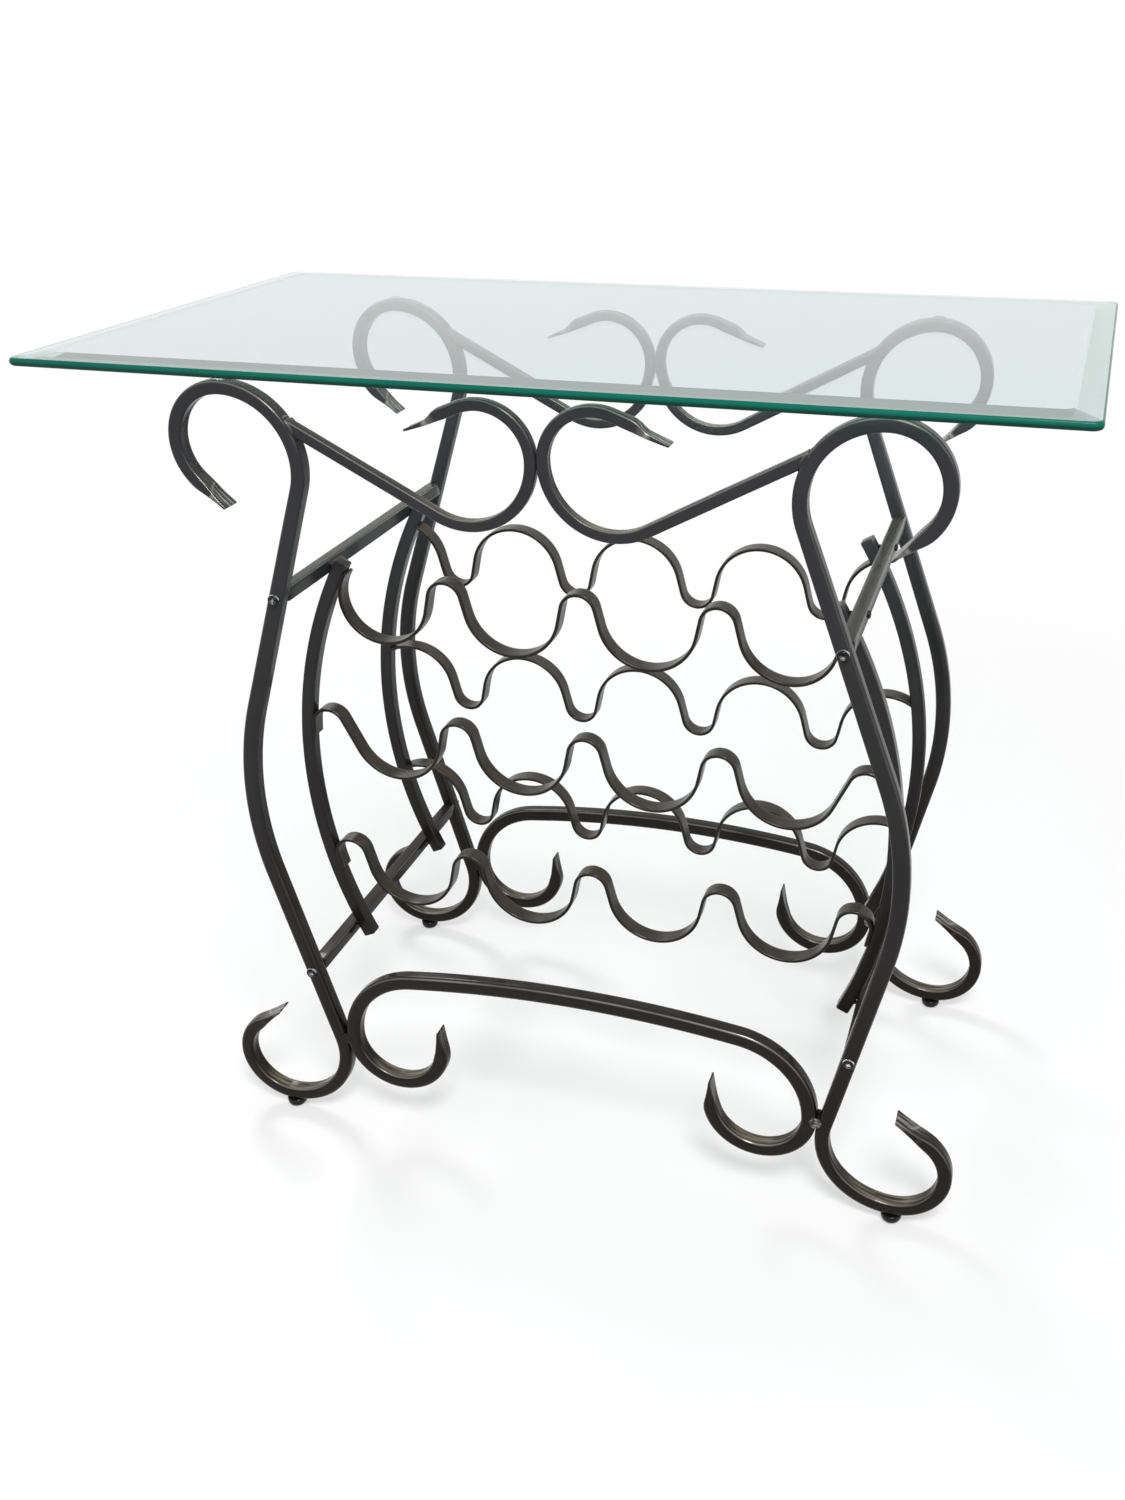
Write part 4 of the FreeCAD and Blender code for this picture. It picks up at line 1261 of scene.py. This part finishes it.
def whiteWorld():
    # soft fill for the object, white behind it for camera, mirror and glass rays
    world = bpy.data.worlds.new("studio")
    world.use_nodes = True
    scene.world = world
    tree = world.node_tree
    strength = rangeNode(tree, seenRays(tree), 0.0, 1.0, stage["fill"], 1.0)
    feed(tree, tree.nodes["Background"], {"Color": (1, 1, 1, 1), "Strength": strength})


lamps = {
    "key": {"place": (0.9, -1.8, 2.9), "aim": (0.0, -0.05, 0.4), "size": 1.0, "power": 74.0},
    "rim": {"place": (-1.6, 1.5, 2.4), "aim": (0.0, 0.0, 0.4), "size": 0.8, "power": 33.5},
}


def addLamp(name, values):
    lamp = bpy.data.lights.new(name, "AREA")
    lamp.shape = "DISK"
    lamp.size = values["size"]
    lamp.energy = values["power"]
    holder = linkObject(name, lamp)
    holder.location = values["place"]
    x, y, z = np.subtract(values["aim"], values["place"])
    holder.rotation_euler = (math.atan2(math.hypot(x, y), -z), 0.0, math.atan2(-x, y))
    holder.visible_transmission = False  # the glass already lets lamp rays through


view = {
    "place": (0.42112, -1.21615, 1.02476), "azimuth": -0.278, "elevation": -0.433, "roll": -0.016,
    "focal": 1402.665, "shift": (118.411, -78.449), "tall": 1500.0, "sensor": 36.0, "far": 100.0,
}


def addCamera():
    camera = bpy.data.cameras.new("photoView")
    camera.sensor_width = view["sensor"]
    camera.lens = view["focal"] / view["tall"] * view["sensor"]
    camera.shift_x = -view["shift"][0] / view["tall"]
    camera.shift_y = view["shift"][1] / view["tall"]
    camera.clip_end = view["far"]
    holder = linkObject("photoView", camera)
    az, el, roll = view["azimuth"], view["elevation"], view["roll"]
    ahead = np.array([math.sin(az) * math.cos(el), math.cos(az) * math.cos(el), math.sin(el)])
    right = np.cross(ahead, [0.0, 0.0, 1.0])
    right = right / np.linalg.norm(right)
    up = np.cross(right, ahead)
    matrix = np.eye(4)
    matrix[:3, 0] = right * math.cos(roll) + up * math.sin(roll)
    matrix[:3, 1] = up * math.cos(roll) - right * math.sin(roll)
    matrix[:3, 2] = -ahead
    matrix[:3, 3] = view["place"]
    holder.matrix_world = Matrix(matrix.tolist())
    scene.camera = holder


floorPiece()
whiteWorld()
for name, values in lamps.items():
    addLamp(name, values)
addCamera()
scene.view_settings.view_transform = "Standard"
print("stage done")
